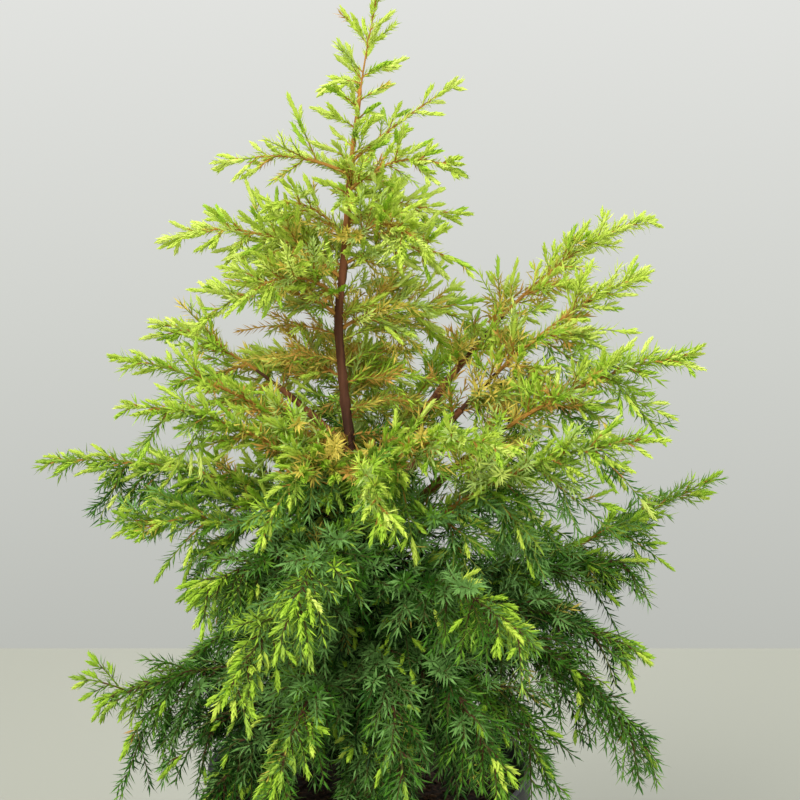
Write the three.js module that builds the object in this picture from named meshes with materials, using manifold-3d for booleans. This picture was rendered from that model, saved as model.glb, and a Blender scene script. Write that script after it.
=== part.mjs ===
// A young common juniper in a round nursery pot, in millimetres, +Z up.
// The origin is the centre of the pot's flat underside; +X is the plant's right, -Y its front.
// The trunk runs up through the crown. Boughs leave it all round: the main ones as bare tapering
// limbs that end where their foliage begins, the others hidden in their foliage from the trunk on.
// A mass of foliage is one stem with twigs that branch off it by a seeded rule. Stem and twigs are
// slim three-sided cores that needles stand out of, each needle larger than life.
import * as THREE from "three";
import { mergeVertices } from "three/addons/utils/BufferGeometryUtils.js";
import Module from "manifold-3d";

const wasm = await Module();
wasm.setup();

// ---- Driving dimensions ----
const POT_HEIGHT = 148;
const POT_MOUTH_RADIUS = 95; // outside the rim band
const POT_FOOT_RADIUS = 71;
const POT_WALL = 1.8;
const POT_SIDES = 32;
const RIM_BAND_HEIGHT = 17;
const RIM_BAND_STEP = 2.6; // how far the band stands out from the wall below it
const RIM_BAND_DRAFT = 0.6; // how much the band widens towards the mouth
const FLOOR_THICKNESS = 3;
const FLOOR_RISE = 5; // the floor's underside stands this far above the foot ring
const FOOT_RING_WIDTH = 9;
const HUB_RADIUS = 14; // a flat foot at the middle of the underside
const DRAIN_HOLE_RADIUS = 5;
const DRAIN_HOLE_COUNT = 6;
const DRAIN_RING_RADIUS = 46;
const SOIL_TOP = 134;
const SOIL_CROWN = 3; // the potting mix stands this much higher at the trunk
const SOIL_CROWN_RADIUS = 18;

const GAP = 0.3; // between neighbouring solids

const TRUNK_FOOT_RADIUS = 5.0;
const TRUNK_TIP_RADIUS = 1.1;
const TRUNK_FLARE = 3.2; // extra radius where the roots begin
const TRUNK_FLARE_HEIGHT = 9;
const TRUNK_SIDES = 8;
// The trunk's centre line, from below its flat cut up to its tip: height and place along X.
const TRUNK_LINE = [
  [130, -0.5],
  [247, -5],
  [324, -9],
  [373, -14],
  [410, -16.5],
  [445, -13],
  [487, -10],
  [533, -4],
];

const LIMB_SIDES = 6;
const LIMB_STEPS = 5;
const LIMB_FOOT_RADIUS = 1.5; // of a bough with no reach
const LIMB_RADIUS_PER_REACH = 0.0085;
const STEM_TIP_RADIUS = 0.5;
const TWIG_RADIUS = 1.3;
const BARE_STEM = 0.2; // share of a stem that has twigs but no needles
const SHOOT_FROM = 36; // a twig this long or longer has a side shoot
const CROWN_NEEDLE = 12; // length, in the crown
const LOW_NEEDLE = 20; // length, where each stands for a short side shoot
const NEEDLE_ANGLE = 42; // degrees from the twig
const NEEDLE_PITCH = 0.86; // along a core, from one whorl to the next, as a share of the needle
const TWIG_PITCH = 1.45; // along a stem, from one twig to the next, as a share of the needle
const CLEARANCE = 0.7; // kept between the foliage of two masses
const GOLDEN_ANGLE = 137.5;

// name, foot height on the trunk, azimuth from +X in degrees, reach, rise of the tip above the foot,
// arch of the middle above the straight line, length of the twigs, share of the length that is a bare
// limb of its own.
const BOUGHS = [
  ["crown_left_1", 490, 175, 73, 4, 8, 30, 0],
  ["crown_right_1", 497, 10, 60, 43, 2, 21, 0],
  ["crown_right_2", 481, -28, 68, 10, 12, 30, 0],
  ["crown_back_1", 474, 85, 62, 12, 8, 30, 0],
  ["crown_right_3", 463, 20, 66, 0, 10, 34, 0],
  ["crown_left_2", 456, 205, 44, 18, 8, 28, 0],
  ["crown_front_1", 450, -46, 66, 0, 14, 34, 0],
  ["crown_left_3", 433, 180, 98, 21, 15, 36, 0],
  ["crown_right_4", 441, -18, 72, 0, 10, 36, 0],
  ["crown_back_2", 439, 140, 78, 2, 10, 38, 0],
  ["crown_left_4", 412, 194, 80, -5, 18, 40, 0],
  ["crown_front_2", 422, -134, 80, -2, 15, 38, 0],
  ["crown_right_5", 404, 24, 92, -8, 16, 44, 0],
  ["crown_back_3", 364, 78, 98, -4, 14, 46, 0],
  ["crown_left_5", 376, 146, 68, -12, 14, 42, 0],
  ["mid_left_1", 333, 165, 120, 73, 12, 44, 0.34],
  ["mid_left_2", 324, 192, 132, 69, 12, 40, 0],
  ["mid_left_3", 303, 210, 138, 70, 16, 43, 0],
  ["mid_left_4", 289, 180, 180, 40, 14, 46, 0],
  ["mid_left_5", 268, 203, 134, 36, 14, 48, 0],
  ["mid_right_1", 295, 20, 186, 169, 32, 40, 0.34],
  ["mid_right_2", 281, -1, 163, 156, 24, 44, 0.34],
  ["mid_right_3", 268, -20, 190, 132, 26, 46, 0.32],
  ["mid_right_4", 256, -36, 190, 108, 22, 44, 0],
  ["mid_right_5", 243, 10, 216, 71, -12, 44, 0.3],
  ["front_mid_1", 303, -82, 118, 14, 28, 42, 0],
  ["front_mid_2", 308, -55, 138, 50, 18, 40, 0],
  ["front_mid_3", 317, -116, 105, -12, 24, 44, 0],
  ["back_mid_1", 304, 58, 150, 88, 14, 48, 0],
  ["back_mid_2", 272, 97, 156, 70, 18, 48, 0],
  ["back_mid_3", 300, 134, 148, 62, 16, 48, 0],
  ["front_low_1", 262, -104, 124, 16, 24, 46, 0],
  ["front_low_2", 244, -116, 142, -4, 24, 46, 0],
  ["front_low_3", 256, -140, 112, 14, 20, 46, 0],
  ["front_low_4", 204, -106, 150, -10, 28, 46, 0],
  ["front_low_5", 218, -80, 146, -32, 34, 48, 0],
  ["front_low_6", 236, -56, 146, 30, 24, 50, 0],
  ["front_low_7", 198, -38, 128, -22, 30, 46, 0],
  ["front_low_8", 180, -130, 132, -22, 30, 46, 0],
  ["front_low_9", 190, -88, 140, -44, 34, 46, 0],
  ["front_low_10", 214, -60, 146, -22, 30, 46, 0],
  ["low_left_1", 240, 180, 98, 8, 14, 44, 0],
  ["low_left_2", 203, 192, 152, -4, 12, 44, 0],
  ["low_left_3", 188, 210, 126, -20, 22, 40, 0],
  ["low_right_1", 226, 6, 166, 40, 12, 46, 0],
  ["low_right_2", 203, -20, 170, -30, 52, 44, 0],
  ["low_right_3", 232, -14, 162, -4, 20, 46, 0],
  ["back_low_1", 215, 38, 160, -2, 20, 48, 0],
  ["back_low_2", 210, 76, 158, -34, 30, 50, 0],
  ["back_low_3", 236, 112, 156, 4, 24, 50, 0],
  ["back_low_4", 214, 148, 132, -30, 28, 48, 0],
].map(([name, foot, azimuth, reach, rise, arch, spread, bare]) => ({
  name, foot, azimuth, reach, rise, arch, spread, bare,
}));
const LEADER_TIP = new THREE.Vector3(7.6, 0, 592);
const LEADER_SPREAD = 25;

const COLOURS = {
  pot: ["#17181a", 0.5],
  soil: ["#3a2c22", 0.95],
  bark: ["#5a3a2a", 0.9],
  crown: ["#9cc23c", 0.6],
  mid: ["#6f9f3a", 0.6],
  front: ["#4f8638", 0.6],
  low: ["#3f7434", 0.6],
  back: ["#4a7c36", 0.6],
};

// ---- Small helpers ----
const UP = new THREE.Vector3(0, 0, 1);
const radians = THREE.MathUtils.degToRad;
const { lerp, clamp } = THREE.MathUtils;

// A repeatable stream of numbers from 0 to 1.
function seededRandom(seed) {
  let state = seed >>> 0;
  return () => {
    state = (state + 0x6d2b79f5) >>> 0;
    let t = state;
    t = Math.imul(t ^ (t >>> 15), t | 1);
    t ^= t + Math.imul(t ^ (t >>> 7), t | 61);
    return ((t ^ (t >>> 14)) >>> 0) / 4294967296;
  };
}

function solidFrom(geometry) {
  const bare = geometry.index ? geometry.clone() : geometry;
  for (const name of Object.keys(bare.attributes)) {
    if (name !== "position") bare.deleteAttribute(name);
  }
  const merged = mergeVertices(bare, 1e-4);
  return new wasm.Manifold(
    new wasm.Mesh({
      numProp: 3,
      vertProperties: new Float32Array(merged.attributes.position.array),
      triVerts: new Uint32Array(merged.index.array),
    }),
  );
}

function geometryFrom(solid) {
  const mesh = solid.getMesh();
  const geometry = new THREE.BufferGeometry();
  geometry.setAttribute("position", new THREE.BufferAttribute(new Float32Array(mesh.vertProperties), 3));
  geometry.setIndex(new THREE.BufferAttribute(new Uint32Array(mesh.triVerts), 1));
  return geometry;
}

// The largest of the separate bodies of a solid.
function largestBody(solid) {
  return solid.decompose().reduce((best, body) => (body.volume() > best.volume() ? body : best));
}

// A solid from a list of points and triangles, each triangle a list of three places in it.
function solidOfTriangles(points, triangles) {
  const vertProperties = new Float32Array(points.flatMap((p) => [p.x, p.y, p.z]));
  const triVerts = new Uint32Array(triangles.flat());
  return new wasm.Manifold(new wasm.Mesh({ numProp: 3, vertProperties, triVerts }));
}

// ---- Pot and potting mix ----
// Turns a profile of [radius, height] points about the Z axis.
function turned(profile, sides) {
  const points = profile.map(([r, z]) => new THREE.Vector2(r, z));
  return new THREE.LatheGeometry(points, sides).rotateX(Math.PI / 2);
}

// The wall's outer radius at a height, below the rim band.
function wallRadius(z) {
  const top = POT_MOUTH_RADIUS - RIM_BAND_STEP;
  return lerp(POT_FOOT_RADIUS, top, z / POT_HEIGHT);
}

function potSolid() {
  const band = POT_HEIGHT - RIM_BAND_HEIGHT;
  const floorTop = FLOOR_RISE + FLOOR_THICKNESS;
  const shell = solidFrom(turned([
    [0, FLOOR_RISE],
    [POT_FOOT_RADIUS - FOOT_RING_WIDTH, FLOOR_RISE],
    [POT_FOOT_RADIUS - FOOT_RING_WIDTH, 0],
    [POT_FOOT_RADIUS, 0],
    [wallRadius(band), band],
    [POT_MOUTH_RADIUS - RIM_BAND_DRAFT, band],
    [POT_MOUTH_RADIUS, POT_HEIGHT],
    [wallRadius(POT_HEIGHT) - POT_WALL, POT_HEIGHT],
    [wallRadius(floorTop) - POT_WALL, floorTop],
    [0, floorTop],
  ], POT_SIDES));
  const hubTop = FLOOR_RISE + 1;
  const hub = solidFrom(turned([[0, 0], [HUB_RADIUS, 0], [HUB_RADIUS, hubTop], [0, hubTop]], 12));
  let pot = shell.add(hub);
  for (let i = 0; i < DRAIN_HOLE_COUNT; i++) {
    const angle = (2 * Math.PI * i) / DRAIN_HOLE_COUNT;
    const drill = new THREE.CylinderGeometry(DRAIN_HOLE_RADIUS, DRAIN_HOLE_RADIUS, 4 * FLOOR_RISE, 6);
    drill.rotateX(Math.PI / 2);
    drill.translate(DRAIN_RING_RADIUS * Math.cos(angle), DRAIN_RING_RADIUS * Math.sin(angle), FLOOR_RISE);
    pot = pot.subtract(solidFrom(drill));
  }
  return pot;
}

function soilSolid() {
  const bottom = FLOOR_RISE + FLOOR_THICKNESS + GAP;
  const inside = (z) => wallRadius(z) - POT_WALL - GAP / Math.cos(Math.PI / POT_SIDES);
  return solidFrom(turned([
    [0, bottom],
    [inside(bottom), bottom],
    [inside(SOIL_TOP), SOIL_TOP],
    [SOIL_CROWN_RADIUS, SOIL_TOP + SOIL_CROWN],
    [0, SOIL_TOP + SOIL_CROWN],
  ], POT_SIDES));
}

// ---- Cores: tapering limbs, stems and twigs, with or without needles ----
// Directions across a line of points, carried along it without twisting.
function framesAlong(points) {
  let across = null;
  return points.map((point, i) => {
    const ahead = points[Math.min(i + 1, points.length - 1)];
    const behind = points[Math.max(i - 1, 0)];
    const tangent = ahead.clone().sub(behind).normalize();
    const guess = across ?? (Math.abs(tangent.z) > 0.9 ? new THREE.Vector3(1, 0, 0) : UP.clone());
    across = guess.clone().addScaledVector(tangent, -guess.dot(tangent)).normalize();
    return { point, tangent, across, side: tangent.clone().cross(across) };
  });
}

// Rings of points round a line, with a radius at each.
function ringsAlong(frames, radii, sides, roll) {
  return frames.map(({ point, across, side }, i) =>
    Array.from({ length: sides }, (_, k) => {
      const angle = roll + (2 * Math.PI * k) / sides;
      return point.clone()
        .addScaledVector(across, radii[i] * Math.cos(angle))
        .addScaledVector(side, radii[i] * Math.sin(angle));
    }));
}

// A plain tapering core with flat ends.
function plainCore(points, radii, sides) {
  const rings = ringsAlong(framesAlong(points), radii, sides, 0);
  const triangles = [];
  const last = rings.length - 1;
  for (let i = 0; i < last; i++) {
    for (let k = 0; k < sides; k++) {
      const next = (k + 1) % sides;
      const [a, b, c, d] = [i * sides + k, i * sides + next, (i + 1) * sides + next, (i + 1) * sides + k];
      triangles.push([a, b, c], [a, c, d]);
    }
  }
  for (let k = 1; k < sides - 1; k++) {
    triangles.push([0, k + 1, k], [last * sides, last * sides + k, last * sides + k + 1]);
  }
  return solidOfTriangles(rings.flat(), triangles);
}

// The needles that could stand on a three-sided core: one on each side of each stretch from `first` on.
// Those of the last stretch are short and lean forward, so that the core ends in a point.
function needlesOn(points, length, roll, first) {
  const sides = 3;
  const frames = framesAlong(points);
  const needles = [];
  for (let i = first; i < points.length - 1; i++) {
    const middle = points[i].clone().lerp(points[i + 1], 0.5);
    for (let k = 0; k < sides; k++) {
      const angle = roll + (2 * Math.PI * (k + 0.5)) / sides;
      const out = frames[i].across.clone().multiplyScalar(Math.cos(angle))
        .addScaledVector(frames[i].side, Math.sin(angle));
      const isLast = i === points.length - 2;
      const lean = radians(isLast ? 0.5 * NEEDLE_ANGLE : NEEDLE_ANGLE);
      const size = isLast ? 0.6 * length : length;
      const tip = middle.clone()
        .addScaledVector(out, size * Math.sin(lean))
        .addScaledVector(frames[i].tangent, size * Math.cos(lean));
      needles.push({ stretch: i, side: k, ends: [points[i], points[i + 1]], tip });
    }
  }
  return needles;
}

// A three-sided core that runs to a point, with a pyramid for each needle in place of the flat side.
function needledCore(points, radii, roll, needles) {
  const sides = 3;
  const rings = ringsAlong(framesAlong(points).slice(0, -1), radii, sides, roll);
  const vertices = rings.flat();
  const triangles = [[0, 2, 1]];
  const tip = vertices.push(points[points.length - 1]) - 1;
  const standing = new Map(needles.map((n) => [n.stretch * sides + n.side, n]));
  for (let i = 0; i < rings.length; i++) {
    for (let k = 0; k < sides; k++) {
      const next = (k + 1) % sides;
      const isLast = i === rings.length - 1;
      const ring = isLast
        ? [i * sides + k, i * sides + next, tip]
        : [i * sides + k, i * sides + next, (i + 1) * sides + next, (i + 1) * sides + k];
      const needle = standing.get(i * sides + k);
      if (needle) {
        const apex = vertices.push(needle.tip) - 1;
        ring.forEach((from, j) => triangles.push([from, ring[(j + 1) % ring.length], apex]));
      } else {
        triangles.push([ring[0], ring[1], ring[2]]);
        if (!isLast) triangles.push([ring[0], ring[2], ring[3]]);
      }
    }
  }
  return solidOfTriangles(vertices, triangles);
}

// ---- Room: every solid's stretches as rods, so that foliage can keep clear of its neighbours ----
const CELL = 20;
const room = new Map();

function cellsOf(rod) {
  const reach = rod.radius + CLEARANCE;
  const low = rod.from.clone().min(rod.to).subScalar(reach).divideScalar(CELL).floor();
  const high = rod.from.clone().max(rod.to).addScalar(reach).divideScalar(CELL).floor();
  const cells = [];
  for (let x = low.x; x <= high.x; x++) {
    for (let y = low.y; y <= high.y; y++) {
      for (let z = low.z; z <= high.z; z++) cells.push(`${x},${y},${z}`);
    }
  }
  return cells;
}

function occupy(rod) {
  for (const cell of cellsOf(rod)) {
    if (!room.has(cell)) room.set(cell, []);
    room.get(cell).push(rod);
  }
}

// The shortest distance between two straight stretches.
function distanceBetween(a, b) {
  const u = a.to.clone().sub(a.from);
  const v = b.to.clone().sub(b.from);
  const w = a.from.clone().sub(b.from);
  const [uu, uv, vv, uw, vw] = [u.dot(u), u.dot(v), v.dot(v), u.dot(w), v.dot(w)];
  const flat = uu * vv - uv * uv;
  let s = flat > 1e-9 ? clamp((uv * vw - vv * uw) / flat, 0, 1) : 0;
  const t = clamp((uv * s + vw) / Math.max(vv, 1e-9), 0, 1);
  s = clamp((uv * t - uw) / Math.max(uu, 1e-9), 0, 1);
  return w.addScaledVector(u, s).addScaledVector(v, -t).length();
}

function inPot(point, margin) {
  return point.z < POT_HEIGHT + margin && Math.hypot(point.x, point.y) < POT_MOUTH_RADIUS + margin;
}

// Whether a rod is clear of the pot and of every rod of another owner.
function isClear(rod) {
  if (inPot(rod.from, rod.radius + CLEARANCE) || inPot(rod.to, rod.radius + CLEARANCE)) return false;
  return cellsOf(rod).every((cell) => (room.get(cell) ?? []).every((other) =>
    other.owner === rod.owner
    || distanceBetween(rod, other) > rod.radius + other.radius + CLEARANCE));
}

function rodsAlong(points, radii, owner) {
  return points.slice(1).map((to, i) => ({ from: points[i], to, radius: radii[i], owner }));
}

// ---- Trunk ----
const trunkCurve = new THREE.CatmullRomCurve3(TRUNK_LINE.map(([z, x]) => new THREE.Vector3(x, 0, z)));
const TRUNK_STEPS = 22;
const TRUNK_FOOT = SOIL_TOP + SOIL_CROWN + GAP;
const TRUNK_TIP = TRUNK_LINE[TRUNK_LINE.length - 1][0];

function trunkRadius(z) {
  const share = (z - TRUNK_FOOT) / (TRUNK_TIP - TRUNK_FOOT);
  const flare = TRUNK_FLARE * Math.exp(-Math.max(z - TRUNK_FOOT, 0) / TRUNK_FLARE_HEIGHT);
  return lerp(TRUNK_FOOT_RADIUS, TRUNK_TIP_RADIUS, clamp(share, 0, 1) ** 0.85) + flare;
}

function trunkPoint(z) {
  let [low, high] = [0, 1];
  for (let i = 0; i < 30; i++) {
    const middle = (low + high) / 2;
    if (trunkCurve.getPoint(middle).z < z) low = middle;
    else high = middle;
  }
  return trunkCurve.getPoint(low);
}

const trunkPoints = Array.from({ length: TRUNK_STEPS + 1 }, (_, i) =>
  trunkPoint(lerp(TRUNK_LINE[0][0], TRUNK_TIP, (i / TRUNK_STEPS) ** 1.15)));
const trunkRadii = trunkPoints.map((p) => trunkRadius(p.z));

// The trunk, or the room that it takes up with some more all round.
function trunkSolid(extra) {
  const radii = trunkRadii.map((r) => r + extra);
  return plainCore(trunkPoints, radii, TRUNK_SIDES).trimByPlane([0, 0, 1], TRUNK_FOOT);
}

// ---- Boughs ----
// A bough's centre line, from the trunk's axis to its tip.
function boughCurve({ foot, azimuth, reach, rise, arch }) {
  const start = trunkPoint(foot);
  const turn = radians(azimuth);
  const tip = start.clone().add(new THREE.Vector3(reach * Math.cos(turn), reach * Math.sin(turn), rise));
  const middle = start.clone().lerp(tip, 0.5).addScaledVector(UP, 2 * arch);
  return new THREE.QuadraticBezierCurve3(start, middle, tip);
}

// The share of a curve that lies a short distance beyond another share of it.
function justBeyond(curve, t, distance) {
  const probe = 1e-3;
  return t + (distance * probe) / curve.getPoint(t + probe).distanceTo(curve.getPoint(t));
}

function boughRadius(bough, t) {
  return lerp(LIMB_FOOT_RADIUS + LIMB_RADIUS_PER_REACH * bough.reach, STEM_TIP_RADIUS, t);
}

function pointsBetween(curve, from, to, steps) {
  return Array.from({ length: steps + 1 }, (_, i) => curve.getPoint(lerp(from, to, i / steps)));
}

// A bare limb, which takes up its room.
function limbSolid(bough) {
  const points = pointsBetween(boughCurve(bough), 0, bough.bare, LIMB_STEPS);
  const radii = points.map((_, i) => boughRadius(bough, (bough.bare * i) / LIMB_STEPS));
  rodsAlong(points, radii, bough.name + "_limb").forEach(occupy);
  return plainCore(points, radii, LIMB_SIDES);
}

// ---- Foliage ----
// How long the twigs are at a share of the way along a mass, as a share of its spread.
function twigLengthShare(along) {
  return Math.min(1, 0.55 + 2 * along) * (1 - 0.72 * along);
}

// Twigs of one mass: where each leaves the stem, which way it sets off and how it bends.
function twigLines({ curve, from, spread, droop, pitch, random }) {
  const length = curve.getLength() * (1 - from);
  const count = Math.round(length / pitch);
  const twigs = [];
  for (let i = 0; i < count; i++) {
    const along = (i + 0.4) / count;
    const t = lerp(from, 0.97, along);
    const foot = curve.getPoint(t);
    const tangent = curve.getTangent(t);
    const level = Math.abs(tangent.z) > 0.95 ? new THREE.Vector3(0, 1, 0) : UP;
    const across = tangent.clone().cross(level).normalize();
    const over = across.clone().cross(tangent);
    const roll = radians(i * GOLDEN_ANGLE + 40 * (random() - 0.5));
    const out = across.multiplyScalar(Math.cos(roll))
      .addScaledVector(over, 0.75 * Math.sin(roll)).normalize();
    const splay = radians(lerp(58, 34, along) + 12 * (random() - 0.5));
    const size = spread * twigLengthShare(along) * lerp(0.85, 1.15, random());
    const heading = tangent.clone().multiplyScalar(Math.cos(splay)).addScaledVector(out, Math.sin(splay));
    const bend = tangent.clone().multiplyScalar(0.45).addScaledVector(UP, -droop);
    twigs.push({ foot, heading, bend, size, radius: TWIG_RADIUS });
  }
  return twigs;
}

function twigPoints({ foot, heading, bend, size }, steps) {
  return Array.from({ length: steps + 1 }, (_, i) => {
    const s = i / steps;
    return foot.clone()
      .addScaledVector(heading, size * s)
      .addScaledVector(bend, 0.5 * size * s * s);
  });
}

// The side shoots of a twig: one on a long twig, none on a short one.
function sideShoots(twig, random) {
  if (twig.size < SHOOT_FROM) return [];
  const [before, foot, after] = twigPoints(twig, 5).slice(1);
  const tangent = after.clone().sub(before).normalize();
  const across = tangent.clone().cross(UP).normalize().multiplyScalar(random() < 0.5 ? 1 : -1);
  const heading = tangent.multiplyScalar(0.75).addScaledVector(across, 0.66).normalize();
  return [{ foot, heading, bend: twig.bend, size: 0.5 * twig.size, radius: 0.85 * twig.radius }];
}

// The room that a needle takes up, from the two ends and the middle of its foot to its tip.
function needleRods({ ends, tip }, owner) {
  const middle = ends[0].clone().lerp(ends[1], 0.5);
  return [...ends, middle].map((from) => ({ from, to: tip, radius: TWIG_RADIUS, owner }));
}

// Adds a needled core to a mass, with each needle that has room to stand.
function addCore(mass, points, radii, first) {
  const roll = 2 * mass.random();
  const needles = needlesOn(points, mass.needle, roll, first)
    .filter((needle) => needleRods(needle, mass.name).every(isClear));
  needles.flatMap((needle) => needleRods(needle, mass.name)).forEach(occupy);
  mass.cores.push(needledCore(points, radii, roll, needles));
}

// Adds a twig to a mass, cut short where it would meet a neighbour and skipped if too little is left.
function addTwig(mass, twig) {
  const steps = Math.max(2, Math.round(twig.size / (NEEDLE_PITCH * mass.needle)));
  const points = twigPoints(twig, steps);
  const radii = points.map((_, i) => lerp(twig.radius, 0.6 * twig.radius, i / steps));
  const rods = rodsAlong(points, radii, mass.name);
  const stop = rods.findIndex((rod) => !isClear(rod));
  const kept = stop === -1 ? points : points.slice(0, stop + 1);
  if (kept.length < 3) return;
  rods.slice(0, kept.length - 1).forEach(occupy);
  addCore(mass, kept, radii, 1);
}

// A mass with its stem's line taken up in the room, so that no other mass grows across it.
function startMass({ name, finish, curve, from, spread, droop, needle, radiusAt, seed }) {
  const steps = Math.max(3, Math.round((curve.getLength() * (1 - from)) / (NEEDLE_PITCH * needle)));
  const points = pointsBetween(curve, from, 1, steps);
  const radii = points.map((_, i) => radiusAt(lerp(from, 1, i / steps)));
  rodsAlong(points, radii, name).forEach(occupy);
  const random = seededRandom(seed);
  const twigs = twigLines({ curve, from, spread, droop, pitch: TWIG_PITCH * needle, random });
  const shoots = twigs.flatMap((twig) => sideShoots(twig, random));
  return { name, finish, needle, random, points, radii, twigs: [...twigs, ...shoots], cores: [] };
}

// Grows all the masses side by side, twig by twig, so that each gets its share of the room.
function growMasses(masses) {
  for (const mass of masses) {
    addCore(mass, mass.points, mass.radii, Math.ceil(BARE_STEM * mass.points.length));
  }
  const most = Math.max(...masses.map((mass) => mass.twigs.length));
  for (let i = 0; i < most; i++) {
    for (const mass of masses.filter((m) => i < m.twigs.length)) addTwig(mass, mass.twigs[i]);
  }
}

// ---- Assembly ----
const plant = new THREE.Group();

function addNode(name, solid, finish) {
  const [color, roughness] = COLOURS[finish];
  const material = new THREE.MeshStandardMaterial({ color, roughness, metalness: 0 });
  const mesh = new THREE.Mesh(geometryFrom(solid), material);
  mesh.name = name;
  plant.add(mesh);
}

addNode("pot", potSolid(), "pot");
addNode("soil", soilSolid(), "soil");
addNode("trunk", trunkSolid(0), "bark");
rodsAlong(trunkPoints, trunkRadii, "trunk").forEach(occupy);

const roomOfTrunk = trunkSolid(GAP);
const clearOfTrunk = (solid) => largestBody(solid.subtract(roomOfTrunk));
for (const bough of BOUGHS.filter((b) => b.bare > 0)) {
  addNode(bough.name + "_limb", clearOfTrunk(limbSolid(bough)), "bark");
}

const leaderStart = trunkPoint(TRUNK_TIP);
leaderStart.z += GAP;
const masses = [startMass({
  name: "leader",
  finish: "crown",
  curve: new THREE.QuadraticBezierCurve3(leaderStart, new THREE.Vector3(0, 0, 562), LEADER_TIP),
  from: 0,
  spread: LEADER_SPREAD,
  droop: 0,
  needle: CROWN_NEEDLE,
  radiusAt: (t) => lerp(TRUNK_TIP_RADIUS, STEM_TIP_RADIUS, t),
  seed: 1,
})];
BOUGHS.forEach((bough, i) => {
  const curve = boughCurve(bough);
  masses.push(startMass({
    name: bough.name,
    finish: bough.name.split("_")[0],
    curve,
    from: bough.bare > 0 ? justBeyond(curve, bough.bare, GAP + 0.05) : 0,
    spread: bough.spread,
    droop: clamp((330 - bough.foot) / 250, 0, 0.5),
    needle: lerp(LOW_NEEDLE, CROWN_NEEDLE, clamp((bough.foot - 310) / 130, 0, 1)),
    radiusAt: (t) => boughRadius(bough, t),
    seed: 100 + i,
  }));
});
growMasses(masses);
for (const mass of masses) {
  addNode(mass.name, clearOfTrunk(wasm.Manifold.union(mass.cores)), mass.finish);
}

export default plant;
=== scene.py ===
import itertools
import math

import bpy
import numpy as np
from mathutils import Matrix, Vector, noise


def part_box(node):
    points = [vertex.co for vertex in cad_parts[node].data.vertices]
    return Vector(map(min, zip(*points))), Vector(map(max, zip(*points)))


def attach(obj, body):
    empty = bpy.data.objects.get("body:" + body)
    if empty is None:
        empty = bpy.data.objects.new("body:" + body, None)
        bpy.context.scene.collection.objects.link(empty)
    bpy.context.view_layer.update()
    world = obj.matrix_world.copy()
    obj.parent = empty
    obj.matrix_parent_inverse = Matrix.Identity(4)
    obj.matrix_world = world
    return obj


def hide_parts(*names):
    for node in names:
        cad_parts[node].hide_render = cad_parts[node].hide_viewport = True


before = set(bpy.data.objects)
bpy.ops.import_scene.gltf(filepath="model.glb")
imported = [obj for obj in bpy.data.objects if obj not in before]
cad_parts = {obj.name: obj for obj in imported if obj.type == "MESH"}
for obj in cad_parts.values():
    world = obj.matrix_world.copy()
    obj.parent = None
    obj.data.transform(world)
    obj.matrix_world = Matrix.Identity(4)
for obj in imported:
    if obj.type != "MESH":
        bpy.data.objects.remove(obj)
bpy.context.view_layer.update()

MM = 0.001
UP = np.array([0.0, 0.0, 1.0])
GOLDEN_ANGLE = math.radians(137.5)

# ---- Sizes from the part, in millimetres ----
POT_MOUTH_RADIUS, _, POT_HEIGHT = np.array(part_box("pot")[1]) / MM
POT_FOOT_RADIUS = 71.0
RIM_BAND_HEIGHT = 17.0
RIM_BAND_STEP = 2.6
POT_WALL = 1.8
FLOOR_RISE, FLOOR_THICKNESS, FOOT_RING_WIDTH, HUB_RADIUS = 5.0, 3.0, 9.0, 14.0
DRAIN_HOLE_COUNT, DRAIN_HOLE_RADIUS, DRAIN_RING_RADIUS = 6, 5.0, 46.0
SOIL_TOP = 134.0
SOIL_CROWN = 3.0

TRUNK_FOOT, TRUNK_TIP = (corner[2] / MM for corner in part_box("trunk"))
TRUNK_FOOT_RADIUS, TRUNK_TIP_RADIUS = 5.0, 1.1
TRUNK_FLARE, TRUNK_FLARE_HEIGHT = 3.2, 9.0
TRUNK_LINE = [
    (130, -0.5), (247, -5), (324, -9), (373, -14),
    (410, -16.5), (445, -13), (487, -10), (533, -4),
]
LEADER_TIP = np.array([7.6, 0.0, 592.0])
LEADER_BEND = np.array([0.0, 0.0, 562.0])
LEADER_SPREAD = 25.0

LIMB_FOOT_RADIUS = 1.5
LIMB_RADIUS_PER_REACH = 0.0085
STEM_TIP_RADIUS = 0.5
CROWN_NEEDLE, LOW_NEEDLE = 12.0, 20.0  # the part's larger-than-life needles, which space its twigs
TWIG_PITCH = 1.45
SHOOT_FROM = 36.0
DROOP_FROM, DROOP_RANGE, MOST_DROOP = 330.0, 250.0, 0.5
LOW_NEEDLE_TOP, NEEDLE_RANGE = 310.0, 130.0

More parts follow.
